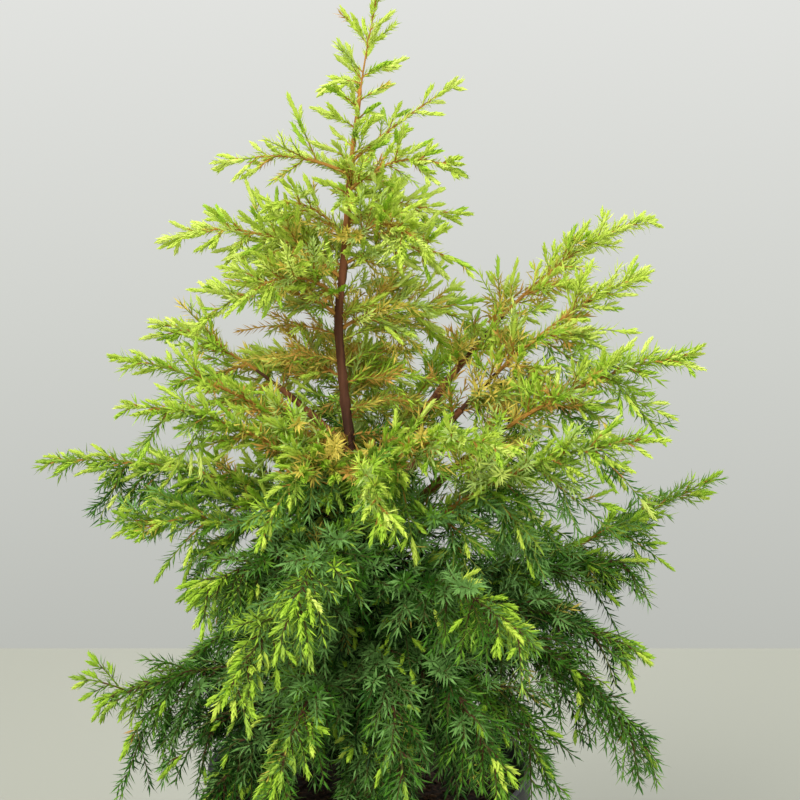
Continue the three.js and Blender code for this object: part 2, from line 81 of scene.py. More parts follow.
# Name, foot height, azimuth, reach, rise, arch, length of the twigs and bare share, as in the part;
# then the share of its shoots that end in fresh growth.
BOUGHS = [
    ("crown_left_1", 490, 175, 73, 4, 8, 30, 0, 0.95),
    ("crown_right_1", 497, 10, 60, 43, 2, 21, 0, 0.95),
    ("crown_right_2", 481, -28, 68, 10, 12, 30, 0, 0.95),
    ("crown_back_1", 474, 85, 62, 12, 8, 30, 0, 0.9),
    ("crown_right_3", 463, 20, 66, 0, 10, 34, 0, 0.9),
    ("crown_left_2", 456, 205, 44, 18, 8, 28, 0, 0.95),
    ("crown_front_1", 450, -46, 66, 0, 14, 34, 0, 0.9),
    ("crown_left_3", 433, 180, 98, 21, 15, 36, 0, 0.95),
    ("crown_right_4", 441, -18, 72, 0, 10, 36, 0, 0.85),
    ("crown_back_2", 439, 140, 78, 2, 10, 38, 0, 0.8),
    ("crown_left_4", 412, 194, 80, -5, 18, 40, 0, 0.9),
    ("crown_front_2", 422, -134, 80, -2, 15, 38, 0, 0.85),
    ("crown_right_5", 404, 24, 92, -8, 16, 44, 0, 0.7),
    ("crown_back_3", 364, 78, 98, -4, 14, 46, 0, 0.6),
    ("crown_left_5", 376, 146, 68, -12, 14, 42, 0, 0.7),
    ("mid_left_1", 333, 165, 120, 73, 12, 44, 0.34, 0.85),
    ("mid_left_2", 324, 192, 132, 69, 12, 40, 0, 0.85),
    ("mid_left_3", 303, 210, 138, 70, 16, 43, 0, 0.8),
    ("mid_left_4", 289, 180, 180, 40, 14, 46, 0, 0.75),
    ("mid_left_5", 268, 203, 134, 36, 14, 48, 0, 0.7),
    ("mid_right_1", 295, 20, 186, 169, 32, 40, 0.34, 0.85),
    ("mid_right_2", 281, -1, 163, 156, 24, 44, 0.34, 0.85),
    ("mid_right_3", 268, -20, 190, 132, 26, 46, 0.32, 0.75),
    ("mid_right_4", 256, -36, 190, 108, 22, 44, 0, 0.6),
    ("mid_right_5", 243, 10, 216, 71, -12, 44, 0.3, 0.5),
    ("front_mid_1", 303, -82, 118, 14, 28, 42, 0, 0.75),
    ("front_mid_2", 308, -55, 138, 50, 18, 40, 0, 0.65),
    ("front_mid_3", 317, -116, 105, -12, 24, 44, 0, 0.8),
    ("back_mid_1", 304, 58, 150, 88, 14, 48, 0, 0.6),
    ("back_mid_2", 272, 97, 156, 70, 18, 48, 0, 0.6),
    ("back_mid_3", 300, 134, 148, 62, 16, 48, 0, 0.7),
    ("front_low_1", 262, -104, 124, 16, 24, 46, 0, 0.35),
    ("front_low_2", 244, -116, 142, -4, 24, 46, 0, 0.45),
    ("front_low_3", 256, -140, 112, 14, 20, 46, 0, 0.5),
    ("front_low_4", 204, -106, 150, -10, 28, 46, 0, 0.2),
    ("front_low_5", 218, -80, 146, -32, 34, 48, 0, 0.08),
    ("front_low_6", 236, -56, 146, 30, 24, 50, 0, 0.3),
    ("front_low_7", 198, -38, 128, -22, 30, 46, 0, 0.06),
    ("front_low_8", 180, -130, 132, -22, 30, 46, 0, 0.15),
    ("front_low_9", 190, -88, 140, -44, 34, 46, 0, 0.08),
    ("front_low_10", 214, -60, 146, -22, 30, 46, 0, 0.08),
    ("low_left_1", 240, 180, 98, 8, 14, 44, 0, 0.25),
    ("low_left_2", 203, 192, 152, -4, 12, 44, 0, 0.25),
    ("low_left_3", 188, 210, 126, -20, 22, 40, 0, 0.15),
    ("low_right_1", 226, 6, 166, 40, 12, 46, 0, 0.15),
    ("low_right_2", 203, -20, 170, -30, 52, 44, 0, 0.12),
    ("low_right_3", 232, -14, 162, -4, 20, 46, 0, 0.12),
    ("back_low_1", 215, 38, 160, -2, 20, 48, 0, 0.15),
    ("back_low_2", 210, 76, 158, -34, 30, 50, 0, 0.12),
    ("back_low_3", 236, 112, 156, 4, 24, 50, 0, 0.2),
    ("back_low_4", 214, 148, 132, -30, 28, 48, 0, 0.12),
]

GOLD_BOUGHS = {"mid_right_1", "mid_right_2", "mid_right_3", "mid_left_1", "mid_left_2", "crown_left_5",
               "crown_right_5", "crown_left_4"}

# Twigs seen one by one, for each mass: share along its stem, azimuth, rise, sag and length.
SINGLE_TWIGS = {
    "leader": [(0.16, 0, 28, 0.2, 24), (0.1, 175, 20, 0.9, 22), (0.45, 170, 50, -0.2, 20)],
    "low_left_2": [(0.72, 200, -50, 1.2, 52), (0.6, 230, -40, 1.2, 44), (0.9, 185, 25, 0.3, 30)],
    "low_left_3": [(0.5, 190, -10, 0.9, 40), (0.62, 170, 0, 0.8, 36), (0.45, 240, -50, 0.6, 46),
        (0.3, 230, -50, 0.6, 46), (0.6, 225, -60, 0.5, 40)],
    "front_low_7": [(0.8, 0, -10, 0.8, 34), (0.6, -35, 15, 0.3, 50), (0.45, -10, 25, 0.5, 46),
        (0.6, 10, -20, 1.0, 38)],
    "front_low_10": [(0.45, -60, -60, 0.6, 52), (0.6, -75, -55, 0.6, 50), (0.6, -45, -60, 0.6, 46)],
    "front_low_5": [(0.6, -62, -55, 0.5, 48)],
    "front_low_8": [(0.5, 200, -45, 0.6, 44), (0.7, 190, -50, 0.5, 36), (0.62, -150, -35, 0.8, 44),
        (0.4, -170, -50, 0.5, 50), (0.55, -100, -60, 0.5, 44)],
    "front_low_6": [(0.3, -90, 30, 0.3, 46), (0.2, -75, 15, 0.3, 46)],
    "front_low_1": [(0.25, -60, 0, 0.3, 46)],
    "front_mid_2": [(0.3, -70, -50, 0.6, 46)],
    "front_low_9": [(0.4, -60, -20, 0.9, 48), (0.6, -70, -10, 0.9, 40)],
    "low_right_2": [(0.45, -60, -30, 1.0, 50), (0.6, -40, -40, 1.0, 44)],
    "mid_right_4": [(0.3, -60, -30, 0.9, 46), (0.45, -20, -40, 0.9, 44), (0.2, -10, -35, 0.9, 44),
        (0.85, 25, -20, 0.3, 40), (0.5, 20, -45, 0.3, 50), (0.45, 0, -55, 0.3, 50),
        (0.78, 10, -40, 0.4, 44), (0.4, 45, -25, 0.3, 44), (0.3, 30, -15, 0.4, 46),
        (0.6, -20, -35, 0.1, 58)],
    "mid_left_5": [(0.85, 200, 10, 0.2, 30), (0.75, 230, -60, 0.2, 30), (0.5, 200, -30, 0.8, 40),
        (0.3, 190, -40, 0.9, 46), (0.65, 215, -25, 0.7, 36), (0.62, 178, 28, 0.2, 44),
        (0.4, 190, 40, 0.3, 48)],
    "mid_left_4": [(0.72, 190, -60, 0.2, 34), (0.65, 170, -55, 0.2, 36), (0.5, 190, -50, 0.2, 42),
        (0.6, 180, -45, 0.0, 36)],
    "mid_left_3": [(0.8, 190, -55, 0.2, 30), (0.65, 180, -55, 0.2, 34)],
    "crown_right_5": [(0.2, 0, -30, 0.3, 38), (0.3, -20, -60, 0.3, 34)],
    "crown_back_3": [(0.2, 20, 30, 0.2, 46)],
    "mid_right_5": [(0.7, 0, -30, 0.2, 40), (0.6, 10, -35, 0.2, 44), (0.35, -30, 50, 0.3, 46),
        (0.3, -20, -50, 0.2, 46), (0.62, -30, 40, 0.5, 46)],
    "mid_right_2": [(0.66, 0, 0, 0.1, 48), (0.4, -20, -60, 0.3, 46), (0.48, 10, -70, 0.2, 50),
        (0.56, -10, -65, 0.2, 46), (0.62, -10, -30, 0.2, 52)],
    "mid_right_3": [(0.42, 0, -60, 0.3, 46), (0.6, -10, -50, 0.4, 50), (0.75, 0, -45, 0.3, 42)],
    "low_right_1": [(0.75, 0, -50, 0.4, 38)],
}

# Places low on the plant where the fresh shoots crowd: x, y, z and radius.
FRESH_SPOTS = [
    (-57, -112, 248, 23), (-19, -118, 290, 20), (-40, -118, 213, 15), (87, -95, 283, 20),
    (89, -100, 256, 14), (149, -45, 239, 18), (30, -112, 322, 26), (-2, -125, 214, 14),
    (32, -135, 260, 13), (-94, -65, 271, 20), (-150, -35, 206, 20), (69, -90, 297, 14),
    (32, -105, 372, 24), (14, -100, 340, 18), (-38, -95, 330, 18), (-62, -80, 352, 16),
    (62, -80, 366, 18), (-84, -50, 318, 18), (-10, -95, 352, 14),
]
SPOTS_BEHIND = 16
CROWDED_SHARE, OLD_CROWDED_SHARE = 0.97, 0.95  # share of the twigs there that end in fresh growth

EYE = np.array([17.76, -800.0, 504.18])  # where the crown is seen from

# Open places in the crown, where the sky shows between the boughs: x, z and radius.
OPEN_PLACES = np.array([
    (-71, 404, 15), (-60, 410, 9), (-23, 476, 7), (123, 289, 11), (162, 336, 7), (112, 146, 10),
    (-106, 158, 10), (-108, 238, 9), (139, 396, 7), (43, 407, 7), (98, 409, 6), (-30, 490, 7),
    (-52, 376, 6), (32, 368, 5), (-75, 476, 8), (-85, 437, 8), (50, 447, 6), (77, 442, 8),
    (150, 308, 7), (168, 270, 7), (140, 240, 7), (-114, 268, 9), (-165, 168, 9), (-147, 295, 7),
    (-117, 138, 10), (168, 203, 6),
])

# ---- Finer growth: heights, lengths and radii in millimetres ----
NEW_WHORL = 1.45
FRESH_LENGTHS = (8.5, 15.0)  # the longest fresh tip, low on the plant and higher up
LAST_TWIG = 0.97  # place of a stem's last twig, as a share of the stem
YOUTH_FROM, YOUTH_RISE = 320.0, 110.0  # heights over which the boughs turn from old to young
SHADE_FROM, SHADE_RISE = 180.0, 260.0  # heights over which the needles turn from dark to light: partly the older growth low down, partly painted shade
GOLD_RADIUS, GOLD_TOP = 44.0, 505.0  # old golden needles sit near the trunk, below the leader
BARE_TRUNK = (325.0, 470.0)  # heights where the trunk shows in front
HANG_DEPTH, HANG_TOP, HANG_FADE = 28.0, 440.0, 60.0  # what hangs below a middle bough is painted darker, as shade under the bough
STEEP_TOP = 470.0  # crown boughs below this have steep twigs too
HIGH_SPRAYS = 478.0  # above this the trunk's own sprays are short
CORE_RADIUS, CORE_TOP, SHADED_CORE_TOP = 48.0, 330.0, 290.0  # thin needles in here; below the lower height they are painted darkest green, as shade in the core

# ---- Colours, as they look on a sheet of paper (sRGB, 0 to 255) ----
GREENS = {
    "dark": (20, 50, 8),
    "deep": (40, 84, 16),
    "mid": (72, 122, 30),
    "leaf": (108, 154, 42),
    "spring": (150, 182, 62),
    "lime_deep": (166, 202, 58),
    "lime": (198, 220, 84),
    "lime_pale": (214, 230, 112),
    "gold": (212, 192, 82),
    "straw": (196, 152, 68),
    "bloom_green": (114, 158, 80),
    "bloom_lime": (180, 204, 108),
}
TWIG_COLOURS = {
    "green": (136, 152, 56),
    "orange": (176, 126, 56),
    "olive": (84, 84, 38),
    "brown": (86, 56, 36),
    "dark": (48, 34, 24),
}
GREEN_SLOT = {name: slot for slot, name in enumerate(GREENS)}
TWIG_SLOT = {name: slot for slot, name in enumerate(TWIG_COLOURS)}


# ---- Small helpers ----
def linear(rgb):
    return tuple(((c / 255 + 0.055) / 1.055) ** 2.4 if c > 10 else c / 255 / 12.92 for c in rgb)


def lerp(a, b, t):
    return a + (b - a) * t


def clamp(x, low=0.0, high=1.0):
    return min(max(x, low), high)


def unit(v):
    """A vector, or each row of an array, brought to length 1."""
    return v / np.maximum(np.linalg.norm(v, axis=-1, keepdims=True), 1e-9)


def heading_of(turn, lift=0.0):
    """The direction at an angle round the trunk and an angle above the level, in radians."""
    level = math.cos(lift)
    return np.array([math.cos(turn) * level, math.sin(turn) * level, math.sin(lift)])


def seeded_random(seed):
    """The part's repeatable stream of numbers from 0 to 1."""
    state = seed
    while True:
        state = (state + 0x6D2B79F5) & 0xFFFFFFFF
        t = ((state ^ (state >> 15)) * (state | 1)) & 0xFFFFFFFF
        t ^= (t + (((t ^ (t >> 7)) * (t | 61)) & 0xFFFFFFFF)) & 0xFFFFFFFF
        yield (t ^ (t >> 14)) / 4294967296


# ---- Materials ----
def feed(tree, socket, value):
    """Gives a socket a value or another node's output."""
    if isinstance(value, bpy.types.NodeSocket):
        tree.links.new(value, socket)
    else:
        socket.default_value = value


def add_node(tree, kind, **sockets):
    """A shader node with its named sockets fed; a name's spaces are written as underscores."""
    node = tree.nodes.new("ShaderNode" + kind)
    for name, value in sockets.items():
        feed(tree, node.inputs[name.replace("_", " ")], value)
    return node


def principled(name, rgb, roughness):
    material = bpy.data.materials.new(name)
    material.use_nodes = True
    shader = material.node_tree.nodes["Principled BSDF"]
    shader.inputs["Base Color"].default_value = (*linear(rgb), 1.0)
    shader.inputs["Roughness"].default_value = roughness
    shader.inputs["Specular IOR Level"].default_value = 0.22
    return material, material.node_tree, shader


def add_ramp(tree, factor, stops):
    """A colour ramp driven by a socket; stops are (place, sRGB colour)."""
    ramp = add_node(tree, "ValToRGB", Fac=factor)
    while len(ramp.color_ramp.elements) < len(stops):
        ramp.color_ramp.elements.new(0.5)
    for element, (place, rgb) in zip(ramp.color_ramp.elements, stops):
        element.position = place
        element.color = (*linear(rgb), 1.0)
    return ramp.outputs["Color"]


def add_noise(tree, scale, detail=4.0, stretch=(1, 1, 1)):
    place = add_node(tree, "TexCoord").outputs["Object"]
    mapping = add_node(tree, "Mapping", Vector=place, Scale=stretch)
    texture = add_node(tree, "TexNoise", Vector=mapping.outputs["Vector"], Scale=scale, Detail=detail)
    return texture.outputs["Fac"]


def add_height(tree, low, high, coordinates="Object", **ends):
    """How far up a point is, from one height to another."""
    place = add_node(tree, "TexCoord").outputs[coordinates]
    parts = add_node(tree, "SeparateXYZ", Vector=place)
    share = add_node(tree, "MapRange", Value=parts.outputs["Z"], From_Min=low, From_Max=high, **ends)
    return share.outputs["Result"]


def mix_colours(tree, factor, a, b, blend="MIX"):
    mix = tree.nodes.new("ShaderNodeMix")
    mix.data_type = "RGBA"
    mix.blend_type = blend
    for name, value in (("Factor", factor), ("A", a), ("B", b)):
        feed(tree, next(s for s in mix.inputs if s.name == name and s.enabled), value)
    return next(s for s in mix.outputs if s.enabled)


def add_bump(tree, shader, height, strength, distance):
    bump = add_node(tree, "Bump", Height=height, Strength=strength, Distance=distance)
    tree.links.new(bump.outputs["Normal"], shader.inputs["Normal"])


def bark_material():
    """Fibrous bark, dark below and orange-brown where the stem is young."""
    material, tree, shader = principled("bark", (96, 60, 46), 0.85)
    streaks = add_noise(tree, 240, 6, (1, 1, 0.12))
    ages = add_ramp(tree, add_height(tree, 0.13, 0.56), [
        (0.0, (76, 58, 50)), (0.5, (92, 62, 50)), (0.72, (132, 84, 56)), (0.95, (204, 150, 72))])
    fibres = add_ramp(tree, streaks, [
        (0.3, (110, 100, 96)), (0.45, (176, 168, 162)), (0.56, (226, 216, 206)), (0.7, (255, 250, 240))])
    tree.links.new(mix_colours(tree, 0.9, ages, fibres, "MULTIPLY"), shader.inputs["Base Color"])
    add_bump(tree, shader, streaks, 0.6, 0.0006)
    return material


def young_bark_material():
    """The thinner, redder bark of the bare limbs."""
    material, tree, shader = principled("young_bark", (176, 118, 62), 0.75)
    streaks = add_noise(tree, 300, 5, (1, 1, 0.2))
    colour = add_ramp(tree, streaks, [
        (0.32, (84, 50, 36)), (0.5, (126, 78, 50)), (0.68, (168, 114, 68))])
    tree.links.new(colour, shader.inputs["Base Color"])
    add_bump(tree, shader, streaks, 0.4, 0.0004)
    return material


def pot_material():
    """Black plastic with a fine grain, a few scuffs, and dust near the foot."""
    material, tree, shader = principled("pot_plastic", (28, 28, 30), 0.42)
    shader.inputs["Specular IOR Level"].default_value = 0.36
    grain = add_noise(tree, 900, 3)
    scuffs = add_noise(tree, 60, 8, (1, 1, 3))
    plastic = add_ramp(tree, scuffs, [(0.35, (13, 13, 14)), (0.62, (20, 20, 21)), (0.8, (31, 30, 29))])
    near_foot = add_height(tree, 0.035, 0.0, To_Max=0.7)
    dust_grain = add_node(tree, "Math")
    dust_grain.operation = "MULTIPLY"
    feed(tree, dust_grain.inputs[0], near_foot)
    feed(tree, dust_grain.inputs[1], scuffs)
    dust = add_ramp(tree, grain, [(0.3, (66, 58, 48)), (0.7, (96, 86, 72))])
    colour = mix_colours(tree, dust_grain.outputs["Value"], plastic, dust)
    tree.links.new(colour, shader.inputs["Base Color"])
    rough = add_node(tree, "MapRange", Value=scuffs, To_Min=0.34, To_Max=0.62)
    tree.links.new(rough.outputs["Result"], shader.inputs["Roughness"])
    add_bump(tree, shader, grain, 0.12, 0.0003)
    return material


def soil_material():
    material, tree, shader = principled("potting_mix", (58, 44, 34), 0.95)
    crumbs = add_noise(tree, 320, 6)
    patches = add_noise(tree, 40, 3)
    base = add_ramp(tree, crumbs, [
        (0.3, (24, 18, 14)), (0.5, (52, 38, 28)), (0.62, (84, 62, 44)), (0.75, (124, 96, 68))])
    shade = add_ramp(tree, patches, [(0.35, (150, 140, 130)), (0.65, (255, 250, 240))])
    tree.links.new(mix_colours(tree, 0.7, base, shade, "MULTIPLY"), shader.inputs["Base Color"])
    add_bump(tree, shader, crumbs, 0.8, 0.0015)
    return material


# ---- Meshes ----
def add_piece(name, vertices, faces, materials, replaced, face_materials=None, smooth=False):
    """A mesh piece from points in millimetres that rides on the plant and stands for some nodes."""
    mesh = bpy.data.meshes.new(name)
    faces = np.asarray(faces, dtype=np.int32)
    count, sides = faces.shape
    mesh.vertices.add(len(vertices))
    mesh.vertices.foreach_set("co", (np.asarray(vertices, dtype=np.float32) * MM).ravel())
    mesh.loops.add(count * sides)
    mesh.loops.foreach_set("vertex_index", faces.ravel())
    mesh.polygons.add(count)
    mesh.polygons.foreach_set("loop_start", np.arange(0, count * sides, sides, dtype=np.int32))
    for material in materials:
        mesh.materials.append(material)
    if face_materials is not None:
        mesh.polygons.foreach_set("material_index", np.asarray(face_materials, dtype=np.int32))
    mesh.polygons.foreach_set("use_smooth", np.full(count, smooth))
    mesh.update(calc_edges=True)
    mesh.validate()
    piece = bpy.data.objects.new(name, mesh)
    bpy.context.scene.collection.objects.link(piece)
    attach(piece, "root")
    if replaced:
        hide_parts(*replaced)
    return piece


class MeshParts:
    """Points and faces of many small bodies, gathered into one mesh."""

    def __init__(self):
        self.vertices, self.faces, self.materials, self.count = [], [], [], 0

    def add(self, vertices, faces, materials=0):
        self.vertices.append(vertices)
        self.faces.append(faces + self.count)
        self.materials.append(np.broadcast_to(materials, len(faces)))
        self.count += len(vertices)

    def arrays(self):
        return (np.concatenate(self.vertices), np.concatenate(self.faces),
                np.concatenate(self.materials))


def frames_along(points):
    """Tangents and two directions across, for each point of a line."""
    tangents = unit(np.gradient(points, axis=0))
    guess = np.array([1.0, 0, 0]) if abs(tangents[0][2]) > 0.9 else UP
    across = unit(guess - tangents * (tangents @ guess)[:, None])
    return tangents, across, np.cross(tangents, across)


def tube(points, radii, sides):
    """Points and quads of a tube round a line; it has a radius for each point or for each corner."""
    _, across, side = frames_along(points)
    angles = np.arange(sides) * 2 * math.pi / sides
    radii = np.asarray(radii, dtype=float)
    radii = np.repeat(radii[:, None], sides, axis=1) if radii.ndim == 1 else radii
    rings = (points[:, None, :]
             + across[:, None, :] * (np.cos(angles)[None, :] * radii)[..., None]
             + side[:, None, :] * (np.sin(angles)[None, :] * radii)[..., None])
    i = np.arange(len(points) - 1)[:, None] * sides
    k = np.arange(sides)[None, :]
    nxt = (k + 1) % sides
    quads = np.stack([i + k, i + nxt, i + sides + nxt, i + sides + k], axis=-1).reshape(-1, 4)
    return rings.reshape(-1, 3), quads


# ---- Trunk and boughs: the part's lines ----
def trunk_line():
    """The part's Catmull-Rom curve through its trunk points, as rows of x and height."""
    points = np.array([(x, z) for z, x in TRUNK_LINE], dtype=float)
    first = 2 * points[0] - points[1]
    last = 2 * points[-1] - points[-2]
    all_points = np.vstack([first, points, last])
    samples = []
    for i in range(1, len(all_points) - 2):
        p0, p1, p2, p3 = all_points[i - 1:i + 3]
        d0, d1, d2 = (math.dist(a, b) ** 0.5 for a, b in ((p0, p1), (p1, p2), (p2, p3)))
        m1 = ((p1 - p0) / d0 - (p2 - p0) / (d0 + d1) + (p2 - p1) / d1) * d1
        m2 = ((p2 - p1) / d1 - (p3 - p1) / (d1 + d2) + (p3 - p2) / d2) * d1
        for t in np.linspace(0, 1, 40, endpoint=False):
            samples.append(p1 + m1 * t + (3 * (p2 - p1) - 2 * m1 - m2) * t**2
                           + (2 * (p1 - p2) + m1 + m2) * t**3)
    samples.append(points[-1])
    return np.array(samples)


TRUNK_SAMPLES = trunk_line()


def trunk_point(z):
    return np.array([np.interp(z, TRUNK_SAMPLES[:, 1], TRUNK_SAMPLES[:, 0]), 0.0, z])


def trunk_radius(z):
    share = clamp((z - TRUNK_FOOT) / (TRUNK_TIP - TRUNK_FOOT))
    flare = TRUNK_FLARE * math.exp(-max(z - TRUNK_FOOT, 0) / TRUNK_FLARE_HEIGHT)
    return lerp(TRUNK_FOOT_RADIUS, TRUNK_TIP_RADIUS, share**0.85) + flare


class Bezier:
    """A quadratic curve, as the part's boughs have."""

    def __init__(self, start, middle, tip):
        self.start, self.middle, self.tip = start, middle, tip
        self.length = float(np.linalg.norm(np.diff(self.points(0, 1, 200), axis=0), axis=1).sum())

    def point(self, t):
        return (1 - t) ** 2 * self.start + 2 * t * (1 - t) * self.middle + t**2 * self.tip

    def tangent(self, t):
        return unit((1 - t) * (self.middle - self.start) + t * (self.tip - self.middle))

    def points(self, start, end, steps):
        return np.array([self.point(t) for t in np.linspace(start, end, steps + 1)])


# Least and most sag of the twigs that don't hang, by the start of their mass's name.
RISING = {
    "mid_left": (-0.5, 0.9), "mid_right": (-0.6, 0.35), "back_mid": (-0.5, 1.2), "crown": (-1.0, 0.9),
}


class Mass:
    """A mass of foliage: its stem's curve and what the part's rule needs to grow its twigs."""

    def __init__(self, name, curve, start, spread, droop, needle, foot_radius, seed, fresh):
        self.name, self.curve, self.start, self.spread = name, curve, start, spread
        self.droop, self.needle, self.foot_radius = droop, needle, foot_radius
        self.seed, self.fresh = seed, fresh
        self.youth = clamp((curve.start[2] - YOUTH_FROM) / YOUTH_RISE)
        self.gold = name in GOLD_BOUGHS
        self.old = name.startswith(("front_low", "low", "back_low"))
        self.tone = 0.7 * math.sin(2.4 * seed) if self.old else 0.0
        self.dense = name.startswith(("mid_right", "mid_left"))
        self.light = "mid" in name  # young twigs with light bark
        self.rising = next((sags for start, sags in RISING.items() if name.startswith(start)), None)
        self.fullness = 1.12 if name.startswith(("mid_right", "low_right", "back_mid")) else 1.0

    def radius(self, t):
        return lerp(self.foot_radius, STEM_TIP_RADIUS, t)

    def below(self, point, along):
        """How far a point hangs below a bough in the middle, from 0 to 1; it fades out near the top."""
        if not self.light:
            return 0.0
        stem = self.curve.point(lerp(self.start, LAST_TWIG, along))
        return clamp((stem[2] - point[2]) / HANG_DEPTH) * clamp((HANG_TOP - point[2]) / HANG_FADE)


def bough_mass(index, row):
    name, foot, azimuth, reach, rise, arch, spread, bare, fresh = row
    start = trunk_point(foot)
    tip = start + reach * heading_of(math.radians(azimuth)) + rise * UP
    middle = lerp(start, tip, 0.5) + 2 * arch * UP
    return Mass(
        name, Bezier(start, middle, tip), bare, spread,
        droop=clamp((DROOP_FROM - foot) / DROOP_RANGE, 0, MOST_DROOP),
        needle=lerp(LOW_NEEDLE, CROWN_NEEDLE, clamp((foot - LOW_NEEDLE_TOP) / NEEDLE_RANGE)),
        foot_radius=LIMB_FOOT_RADIUS + LIMB_RADIUS_PER_REACH * reach,
        seed=100 + index, fresh=fresh)


def all_masses():
    start = trunk_point(TRUNK_TIP)
    leader = Mass("leader", Bezier(start, LEADER_BEND, LEADER_TIP), 0.0, LEADER_SPREAD, 0.0,
                  CROWN_NEEDLE, TRUNK_TIP_RADIUS, 1, 1.0)
    return [leader] + [bough_mass(i, row) for i, row in enumerate(BOUGHS)]


# ---- Growth ----
class Twig:
    """A bending twig: a foot, a heading, a bend towards the light or the ground, and a length."""

    def __init__(self, foot, heading, bend, size, along, level):
        self.foot, self.heading, self.bend, self.size = foot, heading, bend, size
        self.along, self.level = along, level

    def point(self, s):
        return self.foot + self.size * (self.heading * s + 0.5 * self.bend * s * s)

    def points(self, steps):
        return self.point(np.linspace(0, 1, steps + 1)[:, None])

    def at(self, s):
        return self.point(s), unit(self.heading + self.bend * s)


def twig_length_share(along):
    return min(1, 0.55 + 2 * along) * (1 - 0.72 * along)


def directions_across(tangent):
    level = np.array([0, 1.0, 0]) if abs(tangent[2]) > 0.95 else UP
    across = unit(np.cross(tangent, level))
    return across, np.cross(across, tangent)


def twig_on_stem(mass, t, along, roll, splay, size):
    tangent = mass.curve.tangent(t)
    across, over = directions_across(tangent)
    out = unit(across * math.cos(roll) + over * 0.75 * math.sin(roll))
    heading = tangent * math.cos(splay) + out * math.sin(splay)
    return Twig(mass.curve.point(t), heading, tangent * 0.45 - UP * mass.droop, size, along, 1)


def part_twigs(mass):
    """The twigs and side shoots that the part's solids have, from the same numbers."""
    random = seeded_random(mass.seed)
    length = mass.curve.length * (1 - mass.start)
    count = math.floor(length / (TWIG_PITCH * mass.needle) + 0.5)
    twigs = []
    for i in range(count):
        along = (i + 0.4) / count
        roll = i * GOLDEN_ANGLE + math.radians(40) * (next(random) - 0.5)
        splay = math.radians(lerp(58, 34, along) + 12 * (next(random) - 0.5))
        size = mass.spread * twig_length_share(along) * lerp(0.85, 1.15, next(random))
        twigs.append(twig_on_stem(mass, lerp(mass.start, LAST_TWIG, along), along, roll, splay, size))
    shoots = []
    for twig in (t for t in twigs if t.size >= SHOOT_FROM):
        foot, tangent = twig.at(0.4)
        side = 1 if next(random) < 0.5 else -1
        across = unit(np.cross(tangent, UP)) * side
        heading = unit(0.75 * tangent + 0.66 * across)
        shoots.append(Twig(foot, heading, twig.bend, 0.5 * twig.size, twig.along, 2))
    return twigs + shoots


# What shoots carry at the crown's foot and at its top: lengths in millimetres, angles in degrees.
STYLES = {
    "twig_step": (6.0, 5.6), "shoot_step": (6.0, 5.4), "shoot_length": (26, 16), "hang": (0.68, 0.35),
    "needle": (7.6, 5.4), "width": (1.15, 1.0), "angle": (54, 40), "whorl": (2.35, 2.05),
    "new_needle": (5.8, 7.2), "new_width": (1.8, 2.3), "new_angle": (17, 10), "stem": (0.62, 0.5),
    "spread": (1.0, 0.55),
}


class Style:
    """How shoots grow and what they carry, from the crown's foot (youth 0) to its top (youth 1)."""

    def __init__(self, youth):
        self.youth = youth
        for name, (old, young) in STYLES.items():
            setattr(self, name, lerp(old, young, youth))


def finer_twigs(mass, style, random):
    """More twigs between the part's own, a little shorter, so that they stay within its reach."""
    start = mass.start * (0.95 if mass.gold else 0.5)
    length = mass.curve.length * (1 - start)
    count = round(length / style.twig_step)
    twigs = []
    for i in range(count):
        along = (i + random.uniform(0.2, 0.8)) / count
        roll = (i + 0.5) * GOLDEN_ANGLE + random.uniform(-0.4, 0.4)
        splay = math.radians(lerp(62, 32, along) + random.uniform(-8, 8))
        size = mass.spread * twig_length_share(along) * random.uniform(0.45, 1.08) * mass.fullness
        size *= 1 - (0 if mass.old else 0.3) * along
        twig = twig_on_stem(mass, lerp(start, LAST_TWIG, along), along, roll, splay, size)
        sag = random.uniform(*mass.rising) if mass.rising else style.hang * random.uniform(0.2, 1.1)
        twig.bend = twig.bend - UP * sag
        twigs.append(twig)
    return twigs


def stem_shoots(mass, random):
    """Short shoots all round a mass's own stem, which hide it."""
    shoots = []
    count = round(mass.curve.length * (1 - mass.start) / 6.5)
    for i in range(count):
        along = 0.66 * (i + random.uniform(0.1, 0.9)) / count
        t = lerp(mass.start, 0.98, along)
        splay = random.uniform(0.5, 0.85)
        shoots.append(twig_on_stem(mass, t, along, i * GOLDEN_ANGLE, splay, random.uniform(9, 17)))
        shoots[-1].level = 2
    return shoots


def hanging_twigs(mass, random):
    """Long twigs that hang below an old bough."""
    twigs = []
    count = round(mass.curve.length / 10)
    for i in range(count):
        along = (i + random.uniform(0.1, 0.9)) / count
        side = 1 if i % 2 else -1
        tangent = mass.curve.tangent(along)
        across = directions_across(tangent)[0] * side
        heading = unit(0.7 * tangent + random.uniform(0.3, 0.9) * across
                       - UP * random.uniform(0.1, 0.5))
        size = random.uniform(26, 48) * (1 - 0.55 * along)
        bend = -UP * random.uniform(1.0, 1.5)
        twigs.append(Twig(mass.curve.point(along), heading, bend, size, along, 1))
    return twigs


def steep_twigs(mass, random):
    """Twigs that rise or fall steeply from the inner part of a crown bough, between it and the next."""
    twigs = []
    count = round(mass.curve.length / 11)
    for i in range(count):
        along = 0.1 + 0.6 * (i + random.uniform(0.1, 0.9)) / count
        tangent = mass.curve.tangent(along)
        across, over = directions_across(tangent)
        upward = 1 if i % 3 else -1
        heading = unit(0.6 * tangent + random.uniform(-0.6, 0.6) * across + 0.8 * upward * over)
        size = random.uniform(18, 34) * (1 - 0.4 * along)
        bend = 0.3 * tangent - 0.3 * upward * UP
        twigs.append(Twig(mass.curve.point(along), heading, bend, size, along, 1))
    return twigs


